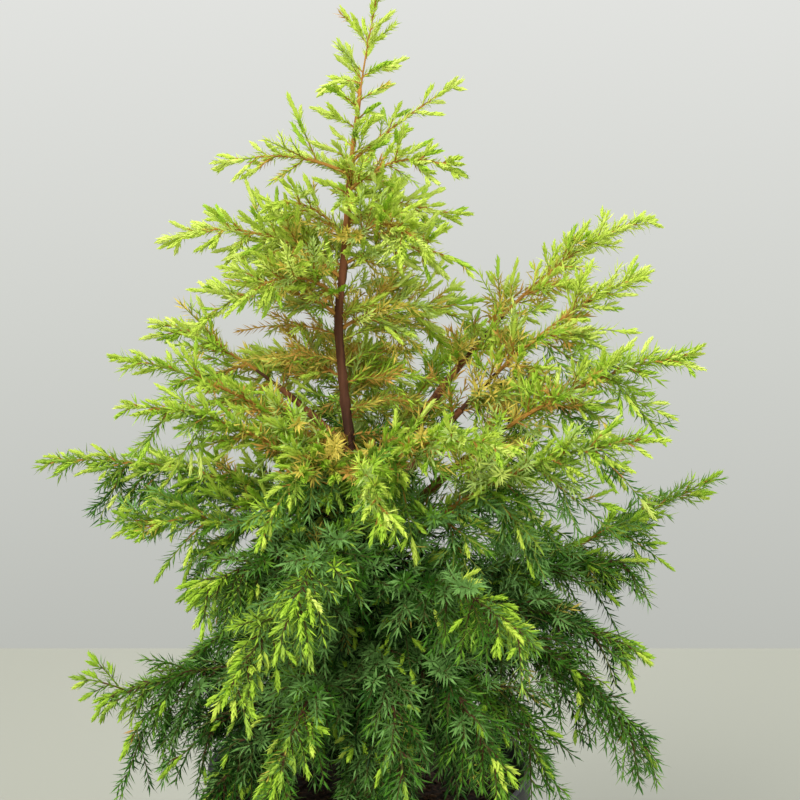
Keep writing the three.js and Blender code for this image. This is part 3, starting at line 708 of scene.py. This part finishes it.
def shoots_on(twig, style, random, rising):
    """Shoots along a twig, mostly to its two sides in turn, shorter towards its tip."""
    shoots = []
    place = random.uniform(0.5, 1.0) * style.shoot_step
    side = random.integers(2)
    while place < twig.size - 5:
        foot, tangent = twig.at(place / twig.size)
        across, over = directions_across(tangent)
        side += 1
        roll = math.pi * side + random.normal(0, style.spread)
        out = unit(across * math.cos(roll) + over * 0.8 * math.sin(roll))
        splay = math.radians(random.uniform(34, 50))
        share_of_rest = (twig.size - place) * random.uniform(0.5, 0.85)
        size = clamp(share_of_rest, 6.0, style.shoot_length * random.uniform(0.6, 1.0))
        heading = tangent * math.cos(splay) + out * math.sin(splay)
        sag = random.uniform(*rising) if rising else style.hang * random.uniform(-0.2, 1.2)
        bend = 0.5 * tangent - UP * sag
        shoots.append(Twig(foot, heading, bend, size, twig.along, twig.level + 1))
        place += style.shoot_step * random.uniform(0.75, 1.25) * (1.0 if twig.level == 1 else 1.3)
    return shoots


def all_spots():
    """The fresh spots in front, and others like them round the sides and the back."""
    random = np.random.default_rng(5)
    spots = list(FRESH_SPOTS)
    for i in range(SPOTS_BEHIND):
        turn = math.radians(lerp(0, 180, (i + random.uniform(0.2, 0.8)) / SPOTS_BEHIND))
        height = random.uniform(195, 315)
        out = random.uniform(112, 140)
        spots.append((out * math.cos(turn), out * math.sin(turn), height, random.uniform(14, 26)))
    return np.array(spots)


SPOTS = all_spots()


def fresh_spot(point, wider=1.0):
    return bool((np.linalg.norm(SPOTS[:, :3] - point, axis=1) < SPOTS[:, 3] * wider).any())


def in_open_place(point):
    """Whether a point lies on a line of sight through one of the crown's open places."""
    seen = EYE + (point - EYE) * EYE[1] / (EYE[1] - point[1])
    reach = np.hypot(OPEN_PLACES[:, 0] - seen[0], OPEN_PLACES[:, 1] - seen[2])
    return bool((reach < OPEN_PLACES[:, 2]).any())


# ---- Needles ----
def green(place, random):
    """A shade from dark to pale lime, by place and chance."""
    return int(clamp(round(place + random.normal(0, 0.6)), GREEN_SLOT["dark"], GREEN_SLOT["lime_pale"]))


def spray_colours(random, mass, style, point, along, fresh):
    """Colours of one spray by its place: older needles, fresh needles, and the older ones' bloom. The
    place also sets painted shade low down, below the middle boughs and between the old boughs, and
    painted light high in the crown.
    """
    from_trunk = math.hypot(point[0] - trunk_point(clamp(point[2], 130, 533))[0], point[1])
    height = clamp((point[2] - SHADE_FROM) / SHADE_RISE)
    golden = 0.02
    if style.youth > 0.3:
        golden = 0.05 if point[2] > GOLD_TOP else 0.1
        if point[2] <= GOLD_TOP and from_trunk < GOLD_RADIUS:
            golden = lerp(0.6, 0.3, clamp((point[2] - 400) / 60))
    elif point[2] > 330:
        golden = 0.42 if from_trunk < 80 else 0.16 if along < 0.5 else 0.02
    if mass.gold and along < 0.6:
        golden = max(golden, 0.5)
    # the green rises with height: partly the needles' age, partly painted shade low on the plant
    shade = lerp(0.5, 6.1, height) + 0.7 * (along - 0.5) + mass.tone
    # painted light: needles above about 390 mm are lighter, for the light that fills the top of the
    # crown
    # painted shade: needles hanging below a middle bough are darker
    shade += 0.6 * clamp((point[2] - 390) / 50) - 1.5 * mass.below(point, along)
    if mass.old:  # painted shade: darker in the recesses between the old boughs, towards the trunk and low down
        shade += 0.4 - 1.5 * clamp((0.75 - along) / 0.35) * clamp((330 - point[2]) / 60)
    if fresh_spot(point, 1.5):
        shade += 1.4
        golden = 0.0
    old = green(max(shade, 2.4) if fresh else shade, random)
    high = height > 0.55
    bloom = GREEN_SLOT["bloom_lime" if high else "bloom_green"]
    if random.random() < golden:
        old = GREEN_SLOT["gold" if random.random() < 0.68 else "straw"]
        bloom = GREEN_SLOT["gold"]
    if random.random() < (0.7 if high else 0.4):
        bloom = old
    new = green(lerp(4.8, 6.2, height), random) if fresh else old
    return old, new, bloom


# A needle is a sliver with a flat upper side and a keel: foot, left and right of its waist, tip.
NEEDLE_FACES = np.array([[0, 2, 1], [3, 1, 2], [0, 1, 3], [0, 3, 2]])
FLAT_FACES = NEEDLE_FACES[:2]  # a needle deep inside the crown has its upper side alone
BLOOM_FACES = 2  # the first two faces are the needle's upper side


def whorls_along(points, fresh_length, spacing):
    """For each needle of a shoot: whether it is young, how far the tip is, its place and its frame."""
    steps = np.linalg.norm(np.diff(points, axis=0), axis=1)
    reach = np.concatenate([[0], np.cumsum(steps)])
    length = reach[-1]
    old_places = np.arange(1.0, length - fresh_length, spacing)
    new_places = np.arange(max(length - fresh_length, 0.6), length - 0.2, NEW_WHORL)
    places = np.concatenate([old_places, new_places])
    young = np.arange(len(places)) >= len(old_places)
    frames = [np.stack([np.interp(places, reach, v[:, k]) for k in range(3)], axis=1)
              for v in (points, *frames_along(points))]
    return [np.repeat(v, 3, axis=0) for v in (young, length - places, *frames)]


def needle_corners(centre, tangent, out, lean, size, width):
    """Foot, both sides of the waist, and tip of each needle, which leans out from its shoot."""
    heading = tangent * np.cos(lean)[:, None] + out * np.sin(lean)[:, None]
    wide = unit(np.cross(heading, out))
    upper = np.cross(wide, heading)
    upper *= np.where((upper * tangent).sum(1) < 0, -1.0, 1.0)[:, None]
    foot = centre + out * 0.2
    waist = foot + heading * (size * 0.4)[:, None] + upper * (width * 0.28)[:, None]
    half = wide * (width / 2)[:, None]
    tip = foot + heading * size[:, None] + tangent * (0.06 * size)[:, None]
    corners = np.stack([foot, waist + half, waist - half, tip], axis=1)
    flip = np.einsum("ij,ij->i", np.cross(corners[:, 2] - foot, corners[:, 1] - foot), upper) < 0
    corners[flip, 1], corners[flip, 2] = corners[flip, 2].copy(), corners[flip, 1].copy()
    return corners


def add_needles(parts, points, fresh_length, colours, style, random, thin=1.0, flat=False):
    """Whorls of three needles along a shoot: spreading older ones, and fresh ones pressed forward."""
    old, new, bloom = colours
    young, left, centre, tangent, across, side = whorls_along(points, fresh_length, style.whorl * thin)
    n = len(centre)
    if n == 0:
        return
    index = np.arange(n)  # each whorl is turned a sixth against the one before
    angle = (index % 3 * 2 * math.pi / 3 + index // 3 * math.pi / 3
             + random.uniform(0, 6.28) + random.normal(0, 0.14, n))
    out = across * np.cos(angle)[:, None] + side * np.sin(angle)[:, None]
    near_tip = np.clip(left / 5.0, 0.0, 1.0)
    lean = np.where(young, math.radians(style.new_angle) * (0.3 + 0.7 * near_tip),
                    math.radians(style.angle) * (0.45 + 0.55 * near_tip))
    lean = lean + random.normal(0, 0.1, n)
    size = np.where(young, style.new_needle * (0.7 + 0.3 * near_tip), style.needle)
    size = size * random.uniform(0.82, 1.12, n)
    width = np.where(young, style.new_width, style.width) * random.uniform(0.85, 1.15, n)
    corners = needle_corners(centre, tangent, out, lean, size, width)
    kind = FLAT_FACES if flat else NEEDLE_FACES
    faces = (kind[None] + 4 * np.arange(n)[:, None, None]).reshape(-1, 3)
    tone = np.where(young, new, old)
    if fresh_length == 0 and random.random() < 0.4:
        tone[left < 9] = old + (old < GREEN_SLOT["spring"])
    materials = np.repeat(tone[:, None], len(kind), axis=1)
    materials[~young, :BLOOM_FACES] = bloom
    parts.add(corners.reshape(-1, 3), faces, materials.ravel())


def add_twig_tube(parts, points, foot_radius, tip_radius, sides, colours):
    """A tapering tube, in one colour or in several from its foot to its tip."""
    radii = np.linspace(foot_radius, tip_radius, len(points))
    vertices, quads = tube(points, radii, sides)
    share = np.arange(len(quads)) * len(colours) // len(quads)
    parts.add(vertices, quads, np.array([TWIG_SLOT[c] for c in colours])[share])


def grow_twig(twig, mass, style, fresh, needles, twigs, random):
    """Adds one twig with its needles, and then the shoots that it carries."""
    if in_open_place(twig.point(0.6)):
        return
    points = twig.points({1: 4, 2: 3}.get(twig.level, 2))
    if fresh:
        whole = style.youth > 0.45 and twig.level > 1 and random.random() < 0.75
        longest = lerp(*FRESH_LENGTHS, clamp((twig.foot[2] - 240) / 90))
        fresh_length = twig.size if whole else min(0.8 * twig.size, random.uniform(0.6, 1.0) * longest)
    else:
        fresh_length = 0.0
    colours = spray_colours(random, mass, style, points[-1], twig.along, fresh)
    inside = math.hypot(*points[-1][:2]) < CORE_RADIUS and points[-1][2] < CORE_TOP
    # painted shade: needles deep in the low core take the darkest green
    if inside and points[-1][2] < SHADED_CORE_TOP:
        colours = [GREEN_SLOT["dark"]] * 3
    flat = not fresh and (twig.along < 0.5 or twig.level == 3)
    add_needles(needles, points, fresh_length, colours, style, random, 1.4 if inside else 1.0, flat)
    thick = {1: 0.6, 2: 0.42}.get(twig.level, 0.35)
    light = style.youth > 0.2 or mass.light
    bark = ["orange", "green"] if light else ["brown", "olive"]
    add_twig_tube(twigs, points, thick, 0.28, 3, bark if twig.level == 1 else bark[-1:])
    if twig.level < 3 and twig.size > (12 if twig.level == 1 else 17):
        for shoot in shoots_on(twig, style, random, mass.rising):
            alone = 0.05 if mass.old else 0.12 + 0.4 * style.youth * twig.along
            follows = random.random() < (0.88 if fresh else alone)
            grow_twig(shoot, mass, style, follows, needles, twigs, random)


def single_twigs(mass):
    """The twigs of this mass that are seen one by one against the sky."""
    twigs = []
    for along, azimuth, rise, sag, size in SINGLE_TWIGS.get(mass.name, ()):
        heading = heading_of(math.radians(azimuth), math.radians(rise))
        twigs.append(Twig(mass.curve.point(along), heading, -UP * sag, size, along, 1))
    return twigs


def main_twigs(mass, style, random):
    """All the twigs on a mass's stem."""
    main = part_twigs(mass) + finer_twigs(mass, style, random)
    if mass.youth < 0.5 and not mass.gold:
        main += stem_shoots(mass, random)
    if mass.old:
        main += hanging_twigs(mass, random)
    if mass.dense:
        main += finer_twigs(mass, style, random)[::2]
    if mass.name.startswith("crown") and mass.curve.start[2] < STEEP_TOP:
        main += steep_twigs(mass, random)
    return main + single_twigs(mass)


def fresh_share(mass, twig):
    """The chance that a twig of this mass ends in fresh growth."""
    crowded = fresh_spot(twig.point(0.8)) or fresh_spot(twig.point(0.3))
    if mass.old and crowded:
        return OLD_CROWDED_SHARE
    if mass.old:
        return 0.05 + 0.6 * mass.fresh * clamp((twig.along - 0.75) / 0.2)
    share = max(mass.fresh * lerp(0.5, 1.15, twig.along), CROWDED_SHARE * crowded)
    if mass.youth > 0.3 and twig.along < 0.35:
        share *= 0.45
    if not crowded:
        share *= 1 - 0.75 * mass.below(twig.point(0.8), twig.along) * (1 - twig.along)
    if mass.gold:
        share *= clamp((twig.along - 0.1) / 0.3, 0.2)
    return share


def add_stem(mass, style, needles, twigs, random):
    """A mass's stem, with needles on its outer two thirds."""
    steps = max(4, round(mass.curve.length / 7))
    stem = mass.curve.points(mass.start, 1, steps)
    bark = ["dark", "brown", "brown", "olive"]
    if mass.youth > 0.2:
        bark = ["orange"] * 3 + ["green"]
    elif mass.light:
        bark = ["brown", "orange", "orange", "green", "green"]
    foot_radius, tip_radius = (mass.radius(t) * style.stem for t in (mass.start, 1))
    add_twig_tube(twigs, stem, foot_radius, tip_radius, 6, bark)
    colours = spray_colours(random, mass, style, stem[-1], 1.0, True)
    add_needles(needles, stem[steps // 3:], 16, colours, style, random)


def grow_mass(mass, needles, twigs):
    """Adds a mass's stem, twigs, shoots and needles to its pieces."""
    random = np.random.default_rng(mass.seed)
    style = Style(mass.youth)
    if mass.old or mass.name.startswith("front_mid"):
        style.new_needle, style.new_width = 6.4, 2.1
    add_stem(mass, style, needles, twigs, random)
    for twig in main_twigs(mass, style, random):
        fresh = random.random() < fresh_share(mass, twig)
        grow_twig(twig, mass, style, fresh, needles, twigs, random)


def trunk_sprays(masses):
    """Short sprays that grow on the trunk itself, between the boughs, each with the mass next to it."""
    random = np.random.default_rng(77)
    sprays = []
    z = 158.0  # clear of the potting mix
    turn = 0.0
    while z < TRUNK_TIP + 2:
        turn += GOLDEN_ANGLE + random.uniform(-0.3, 0.3)
        facing_front = math.cos(turn + math.pi / 2) > 0.5
        high = z > HIGH_SPRAYS
        if not (facing_front and BARE_TRUNK[0] < z < BARE_TRUNK[1]):
            out = heading_of(turn)
            size = random.uniform(14, 21) if high else random.uniform(30, 50)
            size += 24 * clamp((260 - z) / 60)
            if 345 < z < 430 and out[0] > 0.2:
                size = random.uniform(44, 62)
            heading = out * math.cos(0.5) + UP * math.sin(0.5) * (1.4 if high else 0.8)
            bend = out * 0.5 - UP * (0.2 if high else 0.75)
            mass = min(masses, key=lambda m: abs(m.curve.start[2] - z))
            sprays.append((mass, Twig(trunk_point(z), unit(heading), bend, size, 0.1, 1)))
        z += 3.6 if high else 3.0
    return sprays


def group_of(name):
    """The pieces that a mass's needles and twigs belong to."""
    if name == "leader" or name.startswith("crown"):
        return "crown"
    if name.startswith("front_low"):
        return "front_low_left" if int(name.split("_")[-1]) in (1, 2, 3, 4, 8) else "front_low_right"
    return "_".join(name.split("_")[:2])


def build_foliage():
    needle_materials = [principled("needle_" + n, c, 0.6)[0] for n, c in GREENS.items()]
    twig_materials = [principled("twig_shoot_" + n, c, 0.75)[0] for n, c in TWIG_COLOURS.items()]
    masses = all_masses()
    sprays = trunk_sprays(masses)
    groups = {}
    for mass in masses:
        groups.setdefault(group_of(mass.name), []).append(mass)
    for group, members in groups.items():
        needles, twigs = MeshParts(), MeshParts()
        for mass in members:
            grow_mass(mass, needles, twigs)
            random = np.random.default_rng(1000 + mass.seed)
            for owner, twig in sprays:
                if owner is mass:
                    fresh = twig.foot[2] > BARE_TRUNK[1]
                    grow_twig(twig, mass, Style(mass.youth), fresh, needles, twigs, random)
        names = [mass.name for mass in members]
        for kind, parts, materials in (("needles", needles, needle_materials),
                                       ("twigs", twigs, twig_materials)):
            vertices, faces, slots = parts.arrays()
            add_piece(f"{kind}_{group}", vertices, faces, materials, names, slots)


# ---- Bark, with its relief in the mesh ----
def relief_radii(points, radii, sides, depth):
    """Radii for each corner of a tube, with long fibrous ridges and small lumps."""
    rows = []
    for point, radius in zip(points, radii):
        row = []
        for k in range(sides):
            angle = 2 * math.pi * k / sides
            x, y = math.cos(angle), math.sin(angle)
            ridge = noise.noise((3.2 * x, 3.2 * y, point[2] * 0.05))
            fibre = noise.noise((9.0 * x, 9.0 * y, point[2] * 0.12 + 7))
            lump = noise.noise((1.4 * x + 5, 1.4 * y, point[2] * 0.3))
            row.append(radius * (1 + depth * (0.5 * ridge + 0.35 * fibre + 0.3 * lump)))
        rows.append(row)
    return np.array(rows)


def bark_tube(points, radii, sides, depth):
    """Points and triangles of a tube with the bark's relief, its ends closed with fans."""
    vertices, quads = tube(points, relief_radii(points, radii, sides, depth), sides)
    count = len(vertices)
    last = count - sides
    vertices = np.vstack([vertices, points[0], points[-1]])
    k = np.arange(sides)
    nxt = (k + 1) % sides
    foot = np.stack([nxt, k, np.full(sides, count)], axis=1)
    tip = np.stack([last + k, last + nxt, np.full(sides, count + 1)], axis=1)
    triangles = np.concatenate([quads[:, [0, 1, 2]], quads[:, [0, 2, 3]], foot, tip])
    return vertices, triangles


def build_trunk(bark):
    sides = 28
    heights = np.linspace(TRUNK_FOOT, TRUNK_TIP + 3, 230)
    points = np.array([trunk_point(z) for z in heights])
    knots = [row[1] for row in BOUGHS]
    radii = []
    for z in heights:
        knot = sum(math.exp(-(((z - k) / 3.0) ** 2)) for k in knots)
        radii.append(trunk_radius(z) * (1 + 0.14 * min(knot, 1.2)))
    vertices, triangles = bark_tube(points, radii, sides, depth=0.34)
    vertices[:sides, 2] = TRUNK_FOOT
    add_piece("trunk_bark", vertices, triangles, [bark], ["trunk"], smooth=True)


def build_limbs(bark):
    parts = MeshParts()
    sides, steps = 14, 26
    names = []
    for mass in all_masses():
        if mass.start == 0:
            continue
        names.append(mass.name + "_limb")
        start, end = 0.01, mass.start + 0.02  # from inside the trunk to within the needles
        points = mass.curve.points(start, end, steps)
        radii = [mass.radius(t) for t in np.linspace(start, end, steps + 1)]
        radii[0] *= 1.3
        radii[1] *= 1.15
        parts.add(*bark_tube(points, radii, sides, depth=0.3))
    vertices, faces, slots = parts.arrays()
    add_piece("limb_bark", vertices, faces, [bark], names, slots, smooth=True)


# ---- Pot and potting mix ----
def arc(centre, radius, start, end, steps):
    """Points of an arc in the profile plane, angles in degrees from the radial direction."""
    turns = map(math.radians, np.linspace(start, end, steps))
    return [(centre[0] + radius * math.cos(a), centre[1] + radius * math.sin(a)) for a in turns]


def wall_radius(z):
    return lerp(POT_FOOT_RADIUS, POT_MOUTH_RADIUS - RIM_BAND_STEP, z / POT_HEIGHT)


def pot_profile():
    """The pot's section from the underside's middle, up the outside, over the rim and down inside."""
    band = POT_HEIGHT - RIM_BAND_HEIGHT
    floor_top = FLOOR_RISE + FLOOR_THICKNESS
    inner_ring = POT_FOOT_RADIUS - FOOT_RING_WIDTH
    return (
        [(0, 0), (HUB_RADIUS - 1, 0)] + arc((HUB_RADIUS - 1, 1), 1, -90, 0, 4)
        + [(HUB_RADIUS, FLOOR_RISE), (inner_ring, FLOOR_RISE)]
        + arc((inner_ring + 1, 1), 1, 180, 270, 4)
        + arc((POT_FOOT_RADIUS - 2, 2), 2, -90, 0, 6)
        + [(wall_radius(z), z) for z in np.linspace(6, band - 1.5, 14)]
        + arc((wall_radius(band) + 1.2, band - 1.2), 1.2, 180, 90, 4)
        + arc((POT_MOUTH_RADIUS - 1.6, band + 1.0), 1.0, -90, 0, 4)
        + [(POT_MOUTH_RADIUS - 0.5, band + 6), (POT_MOUTH_RADIUS - 0.35, POT_HEIGHT - 4)]
        + arc((POT_MOUTH_RADIUS - 1.4, POT_HEIGHT - 1.4), 1.4, 0, 90, 6)
        + arc((POT_MOUTH_RADIUS - 3.2, POT_HEIGHT - 1.2), 1.2, 90, 180, 5)
        + [(wall_radius(z) - POT_WALL, z) for z in np.linspace(band + 4, floor_top + 1, 10)]
        + [(wall_radius(floor_top) - POT_WALL - 1, floor_top), (0, floor_top)]
    )


def turned(profile, sides):
    """Points and triangles of a profile turned about the Z axis; it starts and ends on the axis."""
    inner = profile[1:-1]
    angles = np.arange(sides) * 2 * math.pi / sides
    rings = [[(r * math.cos(a), r * math.sin(a), z) for a in angles] for r, z in inner]
    ends = [(0, 0, profile[0][1]), (0, 0, profile[-1][1])]
    vertices = np.array([point for ring in rings for point in ring] + ends)
    count = len(inner) * sides
    faces = []
    for k in range(sides):
        nxt = (k + 1) % sides
        faces.append((count, nxt, k))
        faces.append((count + 1, count - sides + k, count - sides + nxt))
        for i in range(len(inner) - 1):
            a, b = i * sides + k, i * sides + nxt
            faces += [(a, b, b + sides), (a, b + sides, a + sides)]
    return vertices, np.array(faces)


def cut_drain_holes(pot):
    """Drills the drain holes through the pot's floor."""
    for i in range(DRAIN_HOLE_COUNT):
        angle = 2 * math.pi * i / DRAIN_HOLE_COUNT
        x, y = (DRAIN_RING_RADIUS * MM * share for share in (math.cos(angle), math.sin(angle)))
        bpy.ops.mesh.primitive_cylinder_add(
            vertices=24, radius=DRAIN_HOLE_RADIUS * MM, depth=0.03, location=(x, y, 0.006))
        drill = bpy.context.object
        cut = pot.modifiers.new("drain_hole", "BOOLEAN")
        cut.operation, cut.object, cut.solver = "DIFFERENCE", drill, "EXACT"
        bpy.context.view_layer.objects.active = pot
        bpy.ops.object.modifier_apply(modifier=cut.name)
        bpy.data.objects.remove(drill)


def build_pot():
    vertices, faces = turned(pot_profile(), 128)
    pot = add_piece("nursery_pot", vertices, faces, [pot_material()], ["pot"], smooth=True)
    cut_drain_holes(pot)
    pot.data.set_sharp_from_angle(angle=math.radians(40))


def soil_height(x, y):
    radius = math.hypot(x, y)
    mound = SOIL_CROWN * clamp(1.3 - radius / 60)
    broad = 2.2 * noise.noise((x * 0.035, y * 0.035, 1.0))
    crumbs = 1.1 * noise.noise((x * 0.16, y * 0.16, 5.0)) + 0.6 * noise.noise((x * 0.45, y * 0.45, 9.0))
    return SOIL_TOP + mound + (broad + crumbs) * clamp(radius / 14) - 0.4


def build_soil(material):
    """The top of the potting mix, with a skirt down to the pot's floor."""
    rim = wall_radius(SOIL_TOP) - POT_WALL - 0.2
    rings, sides = 46, 150
    turns = [2 * math.pi * k / sides for k in range(sides)]
    vertices = [(0, 0, soil_height(0, 0))]
    for i in range(1, rings + 1):
        ring = [(rim * i / rings * math.cos(a), rim * i / rings * math.sin(a)) for a in turns]
        vertices += [(x, y, soil_height(x, y)) for x, y in ring]
    bottom = FLOOR_RISE + FLOOR_THICKNESS + 0.3
    foot = wall_radius(bottom) - POT_WALL - 0.4
    vertices += [(foot * math.cos(a), foot * math.sin(a), bottom) for a in turns]
    vertices.append((0, 0, bottom))
    last = len(vertices) - 1
    faces = []
    for k in range(sides):
        nxt = (k + 1) % sides
        faces.append((0, 1 + k, 1 + nxt))
        faces.append((last, last - sides + nxt, last - sides + k))
        for i in range(rings):
            a, b = 1 + i * sides + k, 1 + i * sides + nxt
            faces += [(a, a + sides, b + sides), (a, b + sides, b)]
    add_piece("potting_mix", vertices, faces, [material], ["soil"], smooth=True)


def build_crumbs(material):
    """Lumps of bark and peat lying on the potting mix."""
    random = np.random.default_rng(8)
    golden = (1 + 5**0.5) / 2
    quarter = np.array([(0, a, b * golden) for a in (-1, 1) for b in (-1, 1)])
    corners = np.concatenate([np.roll(quarter, -k, axis=1) for k in range(3)])
    corners /= np.linalg.norm(corners[0])
    near = [three for three in itertools.combinations(range(12), 3)
            if all(math.dist(corners[i], corners[j]) < 1.1 for i, j in itertools.combinations(three, 2))]
    faces = np.array([(i, j, k) if np.linalg.det(corners[[i, j, k]]) > 0 else (i, k, j)
                      for i, j, k in near])
    parts = MeshParts()
    for _ in range(900):
        radius = 84 * math.sqrt(random.uniform(0.01, 1))
        angle = random.uniform(0, 2 * math.pi)
        x, y = radius * math.cos(angle), radius * math.sin(angle)
        size = random.uniform(0.7, 2.6) * (1.6 if random.random() < 0.08 else 1)
        stretch = [random.uniform(0.7, 1.6), random.uniform(0.5, 1.0), random.uniform(0.35, 0.7)]
        lump = corners * stretch * size * random.uniform(0.8, 1.2, (12, 1))
        turn = random.uniform(0, 2 * math.pi)
        cos, sin = math.cos(turn), math.sin(turn)
        lump = lump @ np.array([[cos, sin, 0], [-sin, cos, 0], [0, 0, 1]])
        lump += (x, y, soil_height(x, y) + 0.15 * size)
        parts.add(lump, faces)
    vertices, faces, slots = parts.arrays()
    add_piece("soil_crumbs", vertices, faces, [material], [], slots)


# ---- Stage, light and camera ----
def build_stage():
    half = 0.61
    corners = [(x * half, y * half, 0) for x, y in ((-1, -1), (1, -1), (1, 1), (-1, 1))]
    mesh = bpy.data.meshes.new("floor")
    mesh.from_pydata(corners, [], [(0, 1, 2, 3)])
    floor = bpy.data.objects.new("floor", mesh)
    bpy.context.scene.collection.objects.link(floor)
    mesh.materials.append(principled("floor", (166, 167, 156), 0.6)[0])
    world = bpy.data.worlds.new("studio")
    bpy.context.scene.world = world
    world.use_nodes = True
    tree = world.node_tree
    shade = add_ramp(tree, add_height(tree, -0.36, 0.12, "Generated"), [
        (0.0, (184, 186, 180)), (0.5, (208, 210, 205)), (1.0, (227, 228, 225))])
    feed(tree, tree.nodes["Background"].inputs["Color"], shade)


def add_light(name, place, target, size, power, colour):
    light = bpy.data.lights.new(name, "AREA")
    light.shape = "DISK"
    light.size, light.energy, light.color = size, power, colour
    lamp = bpy.data.objects.new(name, light)
    lamp.location = place
    direction = np.array(place) - np.array(target)
    lamp.rotation_euler = (math.acos(direction[2] / np.linalg.norm(direction)), 0,
                           math.atan2(direction[1], direction[0]) + math.pi / 2)
    bpy.context.scene.collection.objects.link(lamp)


def build_camera():
    focal_pixels, picture_width, downward = 1441.44, 800, 9.9
    camera = bpy.data.cameras.new("camera")
    camera.sensor_width = 36
    camera.lens = camera.sensor_width * focal_pixels / picture_width
    eye = bpy.data.objects.new("camera", camera)
    eye.location = EYE * MM
    eye.rotation_euler = (math.radians(90 - downward), 0, 0)
    bpy.context.scene.collection.objects.link(eye)
    bpy.context.scene.camera = eye


build_camera()
build_foliage()
bark = bark_material()
build_trunk(bark)
build_limbs(young_bark_material())
build_pot()
soil = soil_material()
build_soil(soil)
build_crumbs(soil)
build_stage()
add_light("key", (-0.9, -1.1, 1.7), (0, 0, 0.35), 1.2, 34, (1.0, 0.99, 0.96))
add_light("fill", (1.3, -0.7, 0.9), (0, 0, 0.3), 1.2, 9, (0.96, 0.98, 1.0))
add_light("rim", (0.4, 1.3, 1.5), (0, 0, 0.4), 1.0, 10, (1.0, 1.0, 1.0))
bpy.context.scene.view_settings.view_transform = "Standard"
